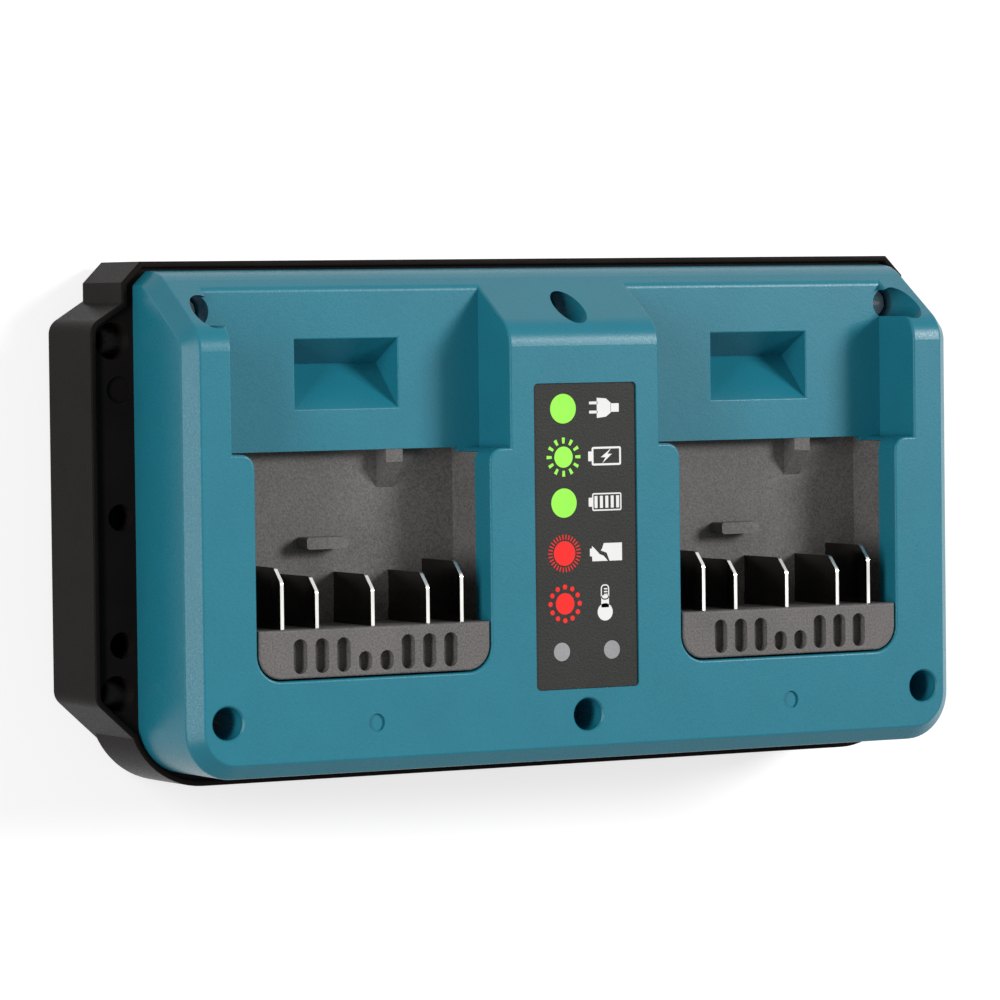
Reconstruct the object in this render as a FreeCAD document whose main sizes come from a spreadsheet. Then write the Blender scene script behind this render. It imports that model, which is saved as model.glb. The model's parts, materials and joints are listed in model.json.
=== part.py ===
import FreeCAD, Part

import math
import os
import types

import Sketcher
from FreeCAD import Placement, Rotation, Vector

# Twin-bay battery charger for slide-on power tool batteries, lying on its feet.
# +X is the width, +Y runs from the indicator end to the open end of the bays and +Z is the face.
# Every length is in millimetres and every driving size is a named cell of the sheet.

SIZES = (
    # The battery that the bays take, and where the two bays stand
    ("battery_width", 75.0),
    ("battery_play", 1.0),
    ("rail_width", 62.0),
    ("rail_play", 2.1),
    ("bay_pitch", 118.5),
    # Black base: tray, rim and side ears
    ("base_width", 225.0),
    ("base_height", 24.0),
    ("base_floor", 2.5),
    ("base_front_round", 20.0),
    ("base_back_bevel", 5.0),
    ("base_edge_round", 2.5),
    ("rim_side", 3.5),
    ("rim_front", 3.5),
    ("rim_back", 2.3),
    ("lip_width", 1.5),
    ("lip_height", 1.5),
    ("lip_soft", 0.5),
    ("tray_margin", 0.5),
    ("ear_reach", 8.4),
    ("ear_length", 90.8),
    ("ear_centre", 3.1),
    ("ear_shoulder", 5.2),
    ("ear_heel", 7.6),
    ("ear_round", 4.0),
    ("mount_reach", 2.1),
    ("mount_pitch", 85.1),
    ("mount_centre", 2.1),
    ("mount_hole", 5.2),
    ("mount_well", 9.0),
    ("mount_web", 4.0),
    ("peg_reach", 0.5),
    ("peg_pitch", 30.8),
    ("peg_hole", 6.5),
    ("peg_depth", 8.0),
    ("peg_mark_depth", 0.8),
    # Rubber feet and the slots in the floor
    ("foot_proud", 1.5),
    ("foot_width", 12.0),
    ("foot_seat", 1.0),
    ("foot_play", 0.2),
    ("foot_bevel", 0.5),
    ("foot_side_inset", 20.5),
    ("foot_end_inset", 17.65),
    ("slot_width", 2.6),
    ("slot_length", 26.0),
    ("slot_pitch", 7.0),
    # Top shell: walls, bevelled edge and the slope at the open end
    ("shell_rise", 27.5),
    ("shell_wall", 2.5),
    ("shell_round", 12.0),
    ("shell_bevel", 3.5),
    ("slope_run", 15.1),
    ("slope_drop", 22.2),
    ("slope_top_round", 8.0),
    ("slope_foot_round", 14.0),
    ("edge_soft", 0.8),
    # Bays in the top shell
    ("bay_inset", 23.1),
    ("contact_length", 54.4),
    ("pocket_length", 44.0),
    ("contact_depth", 20.7),
    ("pocket_depth", 15.6),
    ("pocket_floor", 2.2),
    ("bay_wall", 2.2),
    ("lip_depth", 7.5),
    ("step_skin", 1.0),
    ("bay_corner", 6.5),
    ("bay_shoulder", 3.5),
    ("bay_soft", 0.6),
    ("pocket_mouth_round", 2.0),
    ("latch_width", 28.3),
    ("latch_shift", 1.15),
    ("latch_start", 10.0),
    ("latch_length", 17.2),
    ("latch_ramp", 11.0),
    ("latch_depth", 11.2),
    ("latch_soft", 0.4),
    # Case screws and the wells that hide their heads
    ("well_width", 8.0),
    ("well_wall", 2.0),
    ("well_floor", 3.0),
    ("well_soft", 0.4),
    ("side_screw_inset", 9.6),
    ("front_screw_inset", 13.7),
    ("middle_screw_inset", 11.2),
    ("back_screw_inset", 9.9),
    ("screw_hole", 4.2),
    ("screw_shank", 3.8),
    ("screw_bore", 4.0),
    ("screw_length", 16.0),
    ("screw_tip_gap", 1.0),
    ("screw_head", 7.0),
    ("screw_head_height", 2.6),
    ("pillar_width", 9.0),
    ("pillar_gap", 0.3),
    ("dimple_width", 4.4),
    ("dimple_depth", 0.6),
    ("dimple_inset", 12.1),
    # Indicator panel and its two windows
    ("label_width", 29.3),
    ("label_length", 75.4),
    ("label_inset", 17.6),
    ("label_round", 1.2),
    ("label_sink", 0.9),
    ("label_thickness", 0.45),
    ("label_play", 0.1),
    ("window_width", 4.8),
    ("window_spread", 14.3),
    ("window_inset", 9.3),
    ("window_play", 0.1),
    ("pipe_flange", 1.2),
    # Terminal housing: one in each bay
    ("housing_setback", 1.0),
    ("housing_wall", 1.8),
    ("housing_floor", 2.5),
    ("housing_seat", 0.1),
    ("housing_tuck", 3.0),
    ("tab_screw_reach", 3.65),
    ("tab_screw_place", 29.0),
    ("tab_width", 8.0),
    ("tab_round", 1.3),
    ("tab_root", 1.0),
    ("tab_thickness", 2.0),
    ("tab_screw_bore", 2.6),
    ("tab_screw_hole", 3.2),
    ("tab_screw_length", 8.0),
    ("thread_play", 0.2),
    ("thread_gap", 0.5),
    ("tab_screw_head", 5.6),
    ("tab_screw_head_height", 2.0),
    ("block_gap", 0.5),
    ("block_length", 11.7),
    ("block_core", 2.0),
    ("block_soft", 0.5),
    ("pill_width", 3.7),
    ("pill_pitch", 5.88),
    ("pill_long", 8.4),
    ("pill_short", 4.8),
    ("pill_inset", 1.1),
    ("pill_depth", 2.5),
    ("bar_width", 11.3),
    ("bar_shift", -4.75),
    ("bar_place", 30.5),
    ("bar_length", 2.9),
    ("bar_round", 0.7),
    ("bar_rise", 5.4),
    ("wedge_width", 4.6),
    ("wedge_shift", 14.1),
    ("wedge_length", 9.4),
    ("wedge_flat", 3.1),
    # Contact blades
    ("blade_thickness", 0.9),
    ("blade_sink", 1.5),
    ("blade_nose", 3.5),
    ("blade_round", 1.5),
    ("blade_root_gap", 0.1),
    ("blade_slot_play", 0.1),
    ("power_spread", 49.2),
    ("power_length", 14.8),
    ("power_tail", 6.0),
    ("signal_spread", 15.2),
    ("signal_length", 12.4),
    ("signal_tail", 3.0),
    ("tail_proud", 1.0),
    # Circuit board; what stands on it is placed from its middle and its back edge
    ("board_side_gap", 4.9),
    ("board_front_gap", 19.15),
    ("board_back_gap", 18.35),
    ("board_round", 2.0),
    ("board_thickness", 1.6),
    ("board_lift", 5.0),
    ("standoff_width", 7.0),
    ("board_screw_inset", 5.0),
    ("board_screw_bore", 2.6),
    ("board_screw_hole", 3.2),
    ("board_screw_shank", 2.4),
    ("board_screw_length", 6.0),
    ("board_screw_head", 5.6),
    ("board_screw_head_height", 2.0),
    ("led_width", 4.4),
    ("led_round", 0.4),
    ("led_height", 2.6),
    ("led_gap", 0.3),
    ("core_width", 30.0),
    ("core_depth", 30.0),
    ("core_height", 27.0),
    ("core_leg", 5.0),
    ("core_yoke_side", 7.0),
    ("winding_play", 0.2),
    ("winding_inset", 1.0),
    ("transformer_back", 27.0),
    ("sink_thickness", 2.5),
    ("sink_length", 34.0),
    ("sink_height", 16.5),
    ("sink_spread", 42.0),
    ("sink_back", 47.0),
    ("fin_pitch", 6.0),
    ("fin_depth", 2.0),
    ("fin_thickness", 1.2),
    ("chip_width", 10.0),
    ("chip_pitch", 15.0),
    ("chip_height", 15.0),
    ("chip_thickness", 4.4),
    ("bulk_width", 17.0),
    ("bulk_length", 32.0),
    ("bulk_x", 60.0),
    ("bulk_back", 39.0),
    ("output_can_width", 10.0),
    ("output_can_height", 16.0),
    ("output_can_pitch", 12.5),
    ("output_can_x", -60.0),
    ("output_can_back", 39.0),
    ("can_bevel", 1.0),
    ("ring_outer", 18.0),
    ("ring_inner", 9.0),
    ("ring_height", 8.0),
    ("ring_wire", 1.2),
    ("choke_x", 34.0),
    ("choke_back", 13.0),
    ("inductor_x", -79.0),
    ("inductor_back", 21.0),
    ("filter_cap_x", 58.0),
    ("filter_cap_back", 18.0),
    ("filter_cap_width", 18.0),
    ("filter_cap_depth", 8.0),
    ("filter_cap_height", 11.5),
    ("filter_cap_round", 1.0),
    ("bridge_x", 58.0),
    ("bridge_back", 6.5),
    ("bridge_width", 16.0),
    ("bridge_depth", 4.0),
    ("bridge_height", 11.0),
    ("fuse_x", 79.0),
    ("fuse_back", 18.0),
    ("fuse_width", 5.2),
    ("fuse_length", 20.0),
    ("fuse_lift", 2.0),
    ("clip_length", 5.0),
    ("clip_sheet", 0.5),
    ("clip_rise", 1.3),
    ("control_x", -34.0),
    ("control_inset", 4.05),
    ("control_width", 14.0),
    ("control_depth", 10.0),
    ("control_height", 1.6),
    ("relay_x", -50.0),
    ("relay_back", 12.0),
    ("relay_pitch", 16.0),
    ("relay_width", 13.0),
    ("relay_depth", 10.0),
    ("relay_height", 10.0),
    # Mains inlet in the wall at the open end of the bays
    ("inlet_x", 80.0),
    ("inlet_rise", 9.5),
    ("inlet_width", 22.0),
    ("inlet_height", 13.0),
    ("inlet_depth", 18.0),
    ("inlet_flange", 2.0),
    ("inlet_flange_thickness", 2.0),
    ("inlet_play", 0.15),
    ("inlet_round", 1.5),
    ("inlet_rest_gap", 1.0),
    ("inlet_face_sink", 0.4),
    ("inlet_hole", 8.4),
    ("inlet_waist", 6.3),
    ("inlet_pin_spread", 8.6),
    ("inlet_hole_depth", 11.0),
    ("inlet_pin_width", 2.4),
    ("inlet_pin_proud", 9.0),
    ("inlet_tail", 4.0),
)

# Counts of what repeats, and how much of a ring its winding covers, in degrees
SLOT_COLUMNS = 10
PILL_COUNT = 8
CAN_COUNT = 4
WRAPPED_ANGLE = 300

# Faces that turn by more than this angle, in degrees, meet in a sharp edge
SHARP_ANGLE = 20

# The latch tub's flat bottom lies this share of a wall below the V that it holds
LATCH_BOTTOM_SHARE = 0.9

# Shares of a screw head's width that its cross reaches and its slots take, and of its height
# that they go down
DRIVE_REACH_SHARE = 0.31
DRIVE_SLOT_SHARE = 0.08
DRIVE_DEPTH_SHARE = 0.6

document = FreeCAD.newDocument("battery_charger")
sheet = document.addObject("Spreadsheet::Sheet", "sizes")


class Size:
    """A length and the sheet expression that gives it, combined by ordinary arithmetic."""

    def __init__(self, value, text):
        self.value = value
        self.text = text

    def __add__(self, other):
        other = as_size(other)
        return Size(self.value + other.value, f"({self.text} + {other.text})")

    def __radd__(self, other):
        return as_size(other) + self

    def __sub__(self, other):
        other = as_size(other)
        return Size(self.value - other.value, f"({self.text} - {other.text})")

    def __rsub__(self, other):
        return as_size(other) - self

    def __mul__(self, other):
        other = as_size(other)
        return Size(self.value * other.value, f"({self.text} * {other.text})")

    def __rmul__(self, other):
        return as_size(other) * self

    def __truediv__(self, other):
        other = as_size(other)
        return Size(self.value / other.value, f"({self.text} / {other.text})")

    def __neg__(self):
        return Size(-self.value, f"(0 - {self.text})")


def as_size(number):
    """A plain number as a size, and a size as itself."""
    return number if isinstance(number, Size) else Size(float(number), repr(float(number)))


def root(number):
    """The square root of a size."""
    return Size(math.sqrt(number.value), f"sqrt({number.text})")


def fill_sheet():
    """Write every driving size as a plain number with its alias, and give the sizes back by name."""
    named = {}
    for row, (alias, number) in enumerate(SIZES, start=1):
        sheet.set(f"A{row}", alias)
        sheet.set(f"B{row}", str(number))
        sheet.setAlias(f"B{row}", alias)
        named[alias] = Size(number, f"sizes.{alias}")
    document.recompute()
    return types.SimpleNamespace(**named)


size = fill_sheet()

# Heights, all above the surface that the feet stand on
underside = size.foot_proud
floor_top = underside + size.base_floor
rim_top = underside + size.base_height
ledge_top = rim_top - size.lip_height
face = rim_top + size.shell_rise
pocket_top = face - size.pocket_depth
pocket_under = pocket_top - size.pocket_floor
contact_top = face - size.contact_depth
contact_under = contact_top - size.housing_floor
lip_under = face - size.lip_depth
board_under = floor_top + size.board_lift
board_top = board_under + size.board_thickness
well_bottom = rim_top + size.well_floor

# Widths and depths; the depth of the base follows from the length that a battery takes
shell_depth = size.bay_inset + size.contact_length + size.pocket_length
base_depth = size.rim_front + shell_depth + size.rim_back
rim_back_y = base_depth / 2
shell_front = size.rim_front - rim_back_y
shell_back = rim_back_y - size.rim_back
shell_half = size.base_width / 2 - size.rim_side
pocket_width = size.battery_width + size.battery_play
contact_width = size.rail_width + size.rail_play
bay_front = shell_front + size.bay_inset
bay_step = bay_front + size.contact_length
latch_front = bay_step + size.latch_start
label_front = shell_front + size.label_inset
window_y = label_front + size.window_inset
side_screw_x = shell_half - size.side_screw_inset
housing_half = contact_width / 2 + size.housing_setback + size.housing_wall

# The circuit board's edges, and its middle for what stands beside the bays
board_half = side_screw_x - size.pillar_width / 2 - size.board_side_gap
board_front = shell_front + size.board_front_gap
board_back = shell_back - size.board_back_gap
BAY_SIDES = {"left": -1, "right": 1}

# Where the six case screws stand
CASE_SCREWS = (
    (-side_screw_x, shell_front + size.front_screw_inset),
    (as_size(0), shell_front + size.middle_screw_inset),
    (side_screw_x, shell_front + size.front_screw_inset),
    (-side_screw_x, shell_back - size.back_screw_inset),
    (as_size(0), shell_back - size.back_screw_inset),
    (side_screw_x, shell_back - size.back_screw_inset),
)


def new_body(label, x=None):
    """An empty body, moved along X when its place is given."""
    body = document.addObject("PartDesign::Body", label)
    body.Label = label
    if x is not None:
        body.Placement = Placement(Vector(x.value, 0, 0), Rotation())
        body.setExpression("Placement.Base.x", x.text)
    return body


def sketch_on(body, name, plane="XY_Plane", offset=None):
    """A sketch on one of the body's own origin planes, moved along that plane's normal."""
    sketch = body.newObject("Sketcher::SketchObject", name)
    support = next(item for item in body.Origin.OriginFeatures if item.Role == plane)
    sketch.AttachmentSupport = (support, "")
    sketch.MapMode = "FlatFace"
    if offset is not None:
        sketch.AttachmentOffset = Placement(Vector(0, 0, offset.value), Rotation())
        sketch.setExpression("AttachmentOffset.Base.z", offset.text)
    return sketch


def tie(sketch, ties):
    """Add constraints in one go; each comes with the sheet expression of its number, or None."""
    indices = sketch.addConstraint([constraint for constraint, _ in ties])
    for index, (_, text) in zip(indices, ties):
        if text is not None:
            sketch.setExpression(f"Constraints[{index}]", text)


def at_point(geometry, vertex, x, y):
    """The two distances that hold a point from the sketch's origin."""
    return [
        (Sketcher.Constraint(kind, -1, 1, geometry, vertex, as_size(place).value), as_size(place).text)
        for kind, place in (("DistanceX", x), ("DistanceY", y))
    ]


def rounding(places, index, radius):
    """The arc that rounds one corner of an outline, and its ends in the outline's order."""
    place = places[index]
    back = (places[index - 1] - place).normalize()
    ahead = (places[(index + 1) % len(places)] - place).normalize()
    half_angle = back.getAngle(ahead) / 2
    enter = place + back * (radius / math.tan(half_angle))
    leave = place + ahead * (radius / math.tan(half_angle))
    centre = place + (back + ahead).normalize() * (radius / math.sin(half_angle))
    turns_left = ahead.cross(back).z > 0
    first, last = (enter, leave) if turns_left else (leave, enter)
    angles = [math.atan2(end.y - centre.y, end.x - centre.x) for end in (first, last)]
    arc = Part.ArcOfCircle(Part.Circle(centre, Vector(0, 0, 1), radius), *angles)
    return arc, enter, leave, (1, 2) if turns_left else (2, 1)


def outline(sketch, corners):
    """Draw a closed outline through corners (x, y) or, rounded, (x, y, radius)."""
    places = [Vector(as_size(corner[0]).value, as_size(corner[1]).value, 0) for corner in corners]
    count = len(corners)
    rounds = {
        index: rounding(places, index, as_size(corner[2]).value)
        for index, corner in enumerate(corners)
        if len(corner) > 2
    }
    lines = []
    for index in range(count):
        ahead = (index + 1) % count
        start = rounds[index][2] if index in rounds else places[index]
        end = rounds[ahead][1] if ahead in rounds else places[ahead]
        lines.append(sketch.addGeometry(Part.LineSegment(start, end), False))
    ties = []
    for index, corner in enumerate(corners):
        before = lines[index - 1]
        after = lines[index]
        if index not in rounds:
            ties.append((Sketcher.Constraint("Coincident", before, 2, after, 1), None))
            ties += at_point(after, 1, corner[0], corner[1])
            continue
        arc, _, _, (enter, leave) = rounds[index]
        curve = sketch.addGeometry(arc, False)
        vertex = sketch.addGeometry(Part.Point(places[index]), True)
        radius = as_size(corner[2])
        ties += [
            (Sketcher.Constraint("Tangent", before, 2, curve, enter), None),
            (Sketcher.Constraint("Tangent", curve, leave, after, 1), None),
            (Sketcher.Constraint("PointOnObject", vertex, 1, before), None),
            (Sketcher.Constraint("PointOnObject", vertex, 1, after), None),
            (Sketcher.Constraint("Radius", curve, radius.value), radius.text),
        ]
        ties += at_point(vertex, 1, corner[0], corner[1])
    tie(sketch, ties)


def rectangle(sketch, x, y, width, depth, radius=None):
    """Draw a rectangle about its centre, with rounded corners when a radius is given."""
    x, y, width, depth = (as_size(number) for number in (x, y, width, depth))
    low_x, high_x = x - width / 2, x + width / 2
    low_y, high_y = y - depth / 2, y + depth / 2
    ends = ((low_x, low_y), (high_x, low_y), (high_x, high_y), (low_x, high_y))
    outline(sketch, [end if radius is None else (*end, radius) for end in ends])


def circles(sketch, places, width):
    """Draw the same circle, of the given diameter, at every place."""
    width = as_size(width)
    ties = []
    for x, y in places:
        centre = Vector(as_size(x).value, as_size(y).value, 0)
        ring = sketch.addGeometry(Part.Circle(centre, Vector(0, 0, 1), width.value / 2), False)
        ties += at_point(ring, 3, x, y)
        ties.append((Sketcher.Constraint("Diameter", ring, width.value), width.text))
    tie(sketch, ties)


def pill(sketch, x, low, high, width):
    """Draw a slot with round ends, upright between low and high."""
    radius = width / 2
    up = Vector(0, 0, 1)
    ends = (high - radius, low + radius)
    centres = [Vector(x.value, end.value, 0) for end in ends]
    rings = [Part.Circle(centre, up, radius.value) for centre in centres]
    arcs = [
        sketch.addGeometry(Part.ArcOfCircle(ring, start, start + math.pi), False)
        for ring, start in zip(rings, (0.0, math.pi))
    ]
    joints = ((0, 2, 2, 1), (2, 2, 1, 1), (1, 2, 3, 1), (3, 2, 0, 1))
    side = Vector(radius.value, 0, 0)
    left = sketch.addGeometry(Part.LineSegment(centres[0] - side, centres[1] - side), False)
    right = sketch.addGeometry(Part.LineSegment(centres[1] + side, centres[0] + side), False)
    curves = (*arcs, left, right)
    ties = [
        (Sketcher.Constraint("Tangent", curves[first], end, curves[second], start), None)
        for first, end, second, start in joints
    ]
    for arc, end in zip(arcs, ends):
        ties += at_point(arc, 3, x, end)
        ties.append((Sketcher.Constraint("Radius", arc, radius.value), radius.text))
    tie(sketch, ties)


def raise_from(body, name, sketch, length, symmetric=False):
    """Pad a sketch along its normal, or half each way when symmetric."""
    feature = body.newObject("PartDesign::Pad", name)
    feature.Profile = sketch
    feature.setExpression("Length", as_size(length).text)
    feature.SideType = "Symmetric" if symmetric else "One side"
    return feature


def cut_from(body, name, sketch, length, symmetric=False):
    """Pocket a sketch against its normal, or half each way when symmetric."""
    feature = body.newObject("PartDesign::Pocket", name)
    feature.Profile = sketch
    feature.setExpression("Length", as_size(length).text)
    feature.SideType = "Symmetric" if symmetric else "One side"
    return feature


def add_between(body, name, low, high, draw):
    """Pad what draw puts in a level sketch, from the low height to the high one."""
    sketch = sketch_on(body, f"{name}_sketch", offset=as_size(low))
    draw(sketch)
    return raise_from(body, name, sketch, high - low)


def cut_between(body, name, low, high, draw):
    """Pocket what draw puts in a level sketch, from the high height down to the low one."""
    sketch = sketch_on(body, f"{name}_sketch", offset=as_size(high))
    draw(sketch)
    return cut_from(body, name, sketch, high - low)


def repeat(body, name, feature, axis, length, count):
    """Repeat a feature along one axis of its sketch, with the last copy at the given length."""
    document.recompute()
    pattern = body.newObject("PartDesign::LinearPattern", name)
    pattern.Originals = [feature]
    pattern.Direction = (feature.Profile[0], [axis])
    pattern.setExpression("Length", as_size(length).text)
    pattern.Occurrences = count
    body.Tip = pattern
    return pattern


def edges_where(feature, test):
    """The names of a feature's edges that pass a test."""
    document.recompute()
    if feature.Shape.isNull():
        raise RuntimeError(f"{feature.Name} has no shape")
    return [f"Edge{index}" for index, edge in enumerate(feature.Shape.Edges, start=1) if test(edge)]


def dress(body, kind, name, edges, amount):
    """Round or bevel edges of the body's last feature."""
    last = body.Tip
    names = edges_where(last, edges)
    if not names:
        raise RuntimeError(f"{name} found no edge")
    feature = body.newObject(f"PartDesign::{kind}", name)
    feature.Base = (last, names)
    feature.setExpression("Radius" if kind == "Fillet" else "Size", as_size(amount).text)
    return feature


def near(first, second, within=0.02):
    """Whether two numbers are the same length."""
    return abs(first - second) < within


def upright_at(x, y):
    """A test for the upright edge over the point x, y."""
    x, y = as_size(x).value, as_size(y).value

    def test(edge):
        box = edge.BoundBox
        flat = near(box.XMin, box.XMax) and near(box.YMin, box.YMax) and box.ZLength > 0.1
        return flat and near(box.XMin, x) and near(box.YMin, y)

    return test


def any_of(*tests):
    """A test that passes where one of the tests does."""
    return lambda edge: any(test(edge) for test in tests)


def middle_of(edge):
    """The point half-way along an edge."""
    return edge.valueAt((edge.FirstParameter + edge.LastParameter) / 2)


def is_level(edge):
    """Whether an edge stays at one height."""
    return near(edge.BoundBox.ZMin, edge.BoundBox.ZMax)


def is_upright(edge):
    """Whether an edge runs straight up."""
    return near(edge.BoundBox.XMin, edge.BoundBox.XMax) and near(edge.BoundBox.YMin, edge.BoundBox.YMax)


def is_sharp(shape, edge):
    """Whether two faces of a shape meet at an angle along an edge."""
    place = middle_of(edge)
    sides = shape.ancestorsOfType(edge, Part.Face)
    normals = [side.normalAt(*side.Surface.parameter(place)) for side in sides]
    return len(normals) == 2 and normals[0].getAngle(normals[1]) > math.radians(SHARP_ANGLE)


def cut_slope(body, name):
    """Cut away everything beyond the sloped end of the shell."""
    top_y = shell_back - size.slope_run
    foot_z = face - size.slope_drop
    clear = size.shell_rise
    sketch = sketch_on(body, f"{name}_sketch", "YZ_Plane")
    outline(
        sketch,
        (
            (top_y - clear, face),
            (top_y, face, size.slope_top_round),
            (shell_back, foot_z, size.slope_foot_round),
            (shell_back, foot_z - clear),
            (shell_back + clear, foot_z - clear),
            (shell_back + clear, face + clear),
            (top_y - clear, face + clear),
        ),
    )
    return cut_from(body, name, sketch, size.base_width, symmetric=True)


def span(sketch, low_x, high_x, low_y, high_y, radius=None):
    """Draw a rectangle between its low and high sides."""
    low_x, high_x, low_y, high_y = (as_size(number) for number in (low_x, high_x, low_y, high_y))
    middle = ((low_x + high_x) / 2, (low_y + high_y) / 2)
    rectangle(sketch, *middle, high_x - low_x, high_y - low_y, radius)


def build_hood(body):
    """The bevelled hood with its sloped end, hollowed from below to one wall thickness."""
    add_between(
        body,
        "hood",
        ledge_top,
        face,
        lambda sketch: span(sketch, -shell_half, shell_half, shell_front, shell_back),
    )
    corners = [upright_at(side * shell_half, shell_front) for side in (-1, 1)]
    dress(body, "Fillet", "hood_corners", any_of(*corners), size.shell_round)
    cut_slope(body, "hood_slope")

    def top_left_edge(edge):
        box = edge.BoundBox
        long = box.YLength > shell_depth.value / 2
        return near(box.ZMin, face.value) and near(box.XMax, -shell_half.value) and long

    bevel = dress(body, "Chamfer", "hood_bevel", top_left_edge, size.shell_bevel)
    document.recompute()
    bottom = [
        f"Face{index}"
        for index, part in enumerate(bevel.Shape.Faces, start=1)
        if near(part.BoundBox.ZMax, ledge_top.value)
    ]
    hollow = body.newObject("PartDesign::Thickness", "hood_hollow")
    hollow.Base = (bevel, bottom)
    hollow.setExpression("Value", size.shell_wall.text)
    hollow.Reversed = True
    hollow.Join = "Arc"
    outer = [
        middle_of(edge)
        for edge in bevel.Shape.Edges
        if edge.BoundBox.ZMax > ledge_top.value + 1 and is_sharp(bevel.Shape, edge)
    ]

    def is_outer(edge):
        place = middle_of(edge)
        return any(near(place.distanceToPoint(point), 0) for point in outer)

    dress(body, "Fillet", "hood_soft", is_outer, size.edge_soft)


def latch_profile(outer):
    """The V of a latch pocket in Y and Z, or the outside of the wall round it."""
    far = size.latch_length - size.latch_ramp
    if not outer:
        return (
            (latch_front, face),
            (latch_front, pocket_top),
            (latch_front + size.latch_ramp, pocket_top - size.latch_depth),
            (latch_front + size.latch_length, pocket_top),
            (latch_front + size.latch_length, face),
        )
    near_side = root(size.latch_depth * size.latch_depth + size.latch_ramp * size.latch_ramp)
    far_side = root(size.latch_depth * size.latch_depth + far * far)
    near_step = size.bay_wall * near_side / size.latch_depth
    far_step = size.bay_wall * far_side / size.latch_depth
    top = size.pocket_floor / 2
    bottom = size.latch_depth + size.bay_wall * LATCH_BOTTOM_SHARE

    def near_y(drop):
        return latch_front - near_step + size.latch_ramp * drop / size.latch_depth

    def far_y(drop):
        return latch_front + size.latch_length + far_step - far * drop / size.latch_depth

    return (
        (near_y(top), pocket_top - top),
        (near_y(bottom), pocket_top - bottom),
        (far_y(bottom), pocket_top - bottom),
        (far_y(top), pocket_top - top),
    )


def add_bay_walls(body, side_name, centre, roof):
    """The tub of one bay: pocket floor and walls, the lip of the contact opening and the latch tub."""
    pocket_half = pocket_width / 2 + size.bay_wall
    contact_half = contact_width / 2 + size.bay_wall
    inside_back = shell_back - size.shell_wall / 2
    add_between(
        body,
        f"{side_name}_tub",
        pocket_under,
        roof,
        lambda sketch: span(
            sketch,
            centre - pocket_half,
            centre + pocket_half,
            bay_step - size.bay_wall,
            inside_back,
        ),
    )
    add_between(
        body,
        f"{side_name}_lip",
        lip_under,
        roof,
        lambda sketch: span(
            sketch,
            centre - contact_half,
            centre + contact_half,
            bay_front - size.bay_wall,
            bay_step - size.bay_wall / 2,
        ),
    )
    sketch = sketch_on(body, f"{side_name}_latch_tub_sketch", "YZ_Plane", centre + size.latch_shift)
    outline(sketch, latch_profile(outer=True))
    raise_from(body, f"{side_name}_latch_tub", sketch, size.latch_width + size.bay_wall * 2, symmetric=True)


def cut_bay(body, side_name, centre):
    """The hollow of one bay: the wide battery pocket, the contact opening and the latch pocket."""
    pocket_half = pocket_width / 2
    contact_half = contact_width / 2
    clear = size.shell_rise
    cut_between(
        body,
        f"{side_name}_pocket",
        pocket_top,
        face + clear,
        lambda sketch: span(sketch, centre - pocket_half, centre + pocket_half, bay_step, shell_back + clear),
    )
    low_x = centre - contact_half
    high_x = centre + contact_half
    corners = ((low_x, bay_front, size.bay_corner), (high_x, bay_front, size.bay_corner))
    cut_between(
        body,
        f"{side_name}_opening",
        pocket_under - size.bay_wall,
        pocket_top,
        lambda sketch: outline(sketch, (*corners, (high_x, bay_step), (low_x, bay_step))),
    )
    recess_half = housing_half + size.housing_seat
    cut_between(
        body,
        f"{side_name}_housing_recess",
        pocket_under - size.bay_wall,
        lip_under,
        lambda sketch: span(
            sketch,
            centre - recess_half,
            centre + recess_half,
            bay_step - size.bay_wall * 2,
            bay_step - size.step_skin,
        ),
    )
    flare = size.bay_shoulder + size.bay_soft
    beyond = bay_step + size.bay_shoulder
    cut_between(
        body,
        f"{side_name}_opening_top",
        pocket_top,
        face + clear,
        lambda sketch: outline(
            sketch,
            (
                *corners,
                (high_x, bay_step, size.bay_shoulder),
                (high_x + flare, bay_step),
                (high_x + flare, beyond),
                (low_x - flare, beyond),
                (low_x - flare, bay_step),
                (low_x, bay_step, size.bay_shoulder),
            ),
        ),
    )
    sketch = sketch_on(body, f"{side_name}_latch_sketch", "YZ_Plane", centre + size.latch_shift)
    outline(sketch, latch_profile(outer=False))
    cut_from(body, f"{side_name}_latch", sketch, size.latch_width, symmetric=True)


def soften_bays(body):
    """Round the mouth of each pocket and the rims of both bays."""

    def is_mouth(edge):
        place = middle_of(edge)
        across = edge.BoundBox.XLength > contact_width.value
        far = place.y > (bay_step + shell_back).value / 2
        return across and far and is_level(edge) and near(place.z, pocket_top.value)

    dress(body, "Fillet", "mouths", is_mouth, size.pocket_mouth_round)
    document.recompute()
    shape = body.Tip.Shape
    reach = pocket_width.value / 2 + size.bay_soft.value

    def is_rim(edge):
        place = middle_of(edge)
        inside = any(abs(place.x - bay_centre(side).value) < reach for side in BAY_SIDES.values())
        high = place.z > (lip_under + size.bay_soft).value
        outside = not near(edge.BoundBox.ZMax, (face - size.shell_wall).value)
        on_top = inside and high and outside and place.y > (bay_front - size.bay_soft).value
        return on_top and not is_upright(edge) and is_sharp(shape, edge)

    dress(body, "Fillet", "rims", is_rim, size.bay_soft)

    def is_latch_rim(edge):
        place = middle_of(edge)
        level = is_level(edge) and near(place.z, pocket_top.value)
        off = min(abs(place.x - (bay_centre(side) + size.latch_shift).value) for side in BAY_SIDES.values())
        along = place.y - latch_front.value
        within = near(off, 0) or near(off, size.latch_width.value / 2)
        return level and within and -0.1 < along < size.latch_length.value + 0.1

    dress(body, "Fillet", "latch_rims", is_latch_rim, size.latch_soft)


def tab_screw_places(centre):
    """Where the two screws of one terminal housing stand."""
    x = housing_half + size.tab_screw_reach
    y = bay_front + size.tab_screw_place
    return ((centre - x, y), (centre + x, y))


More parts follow.
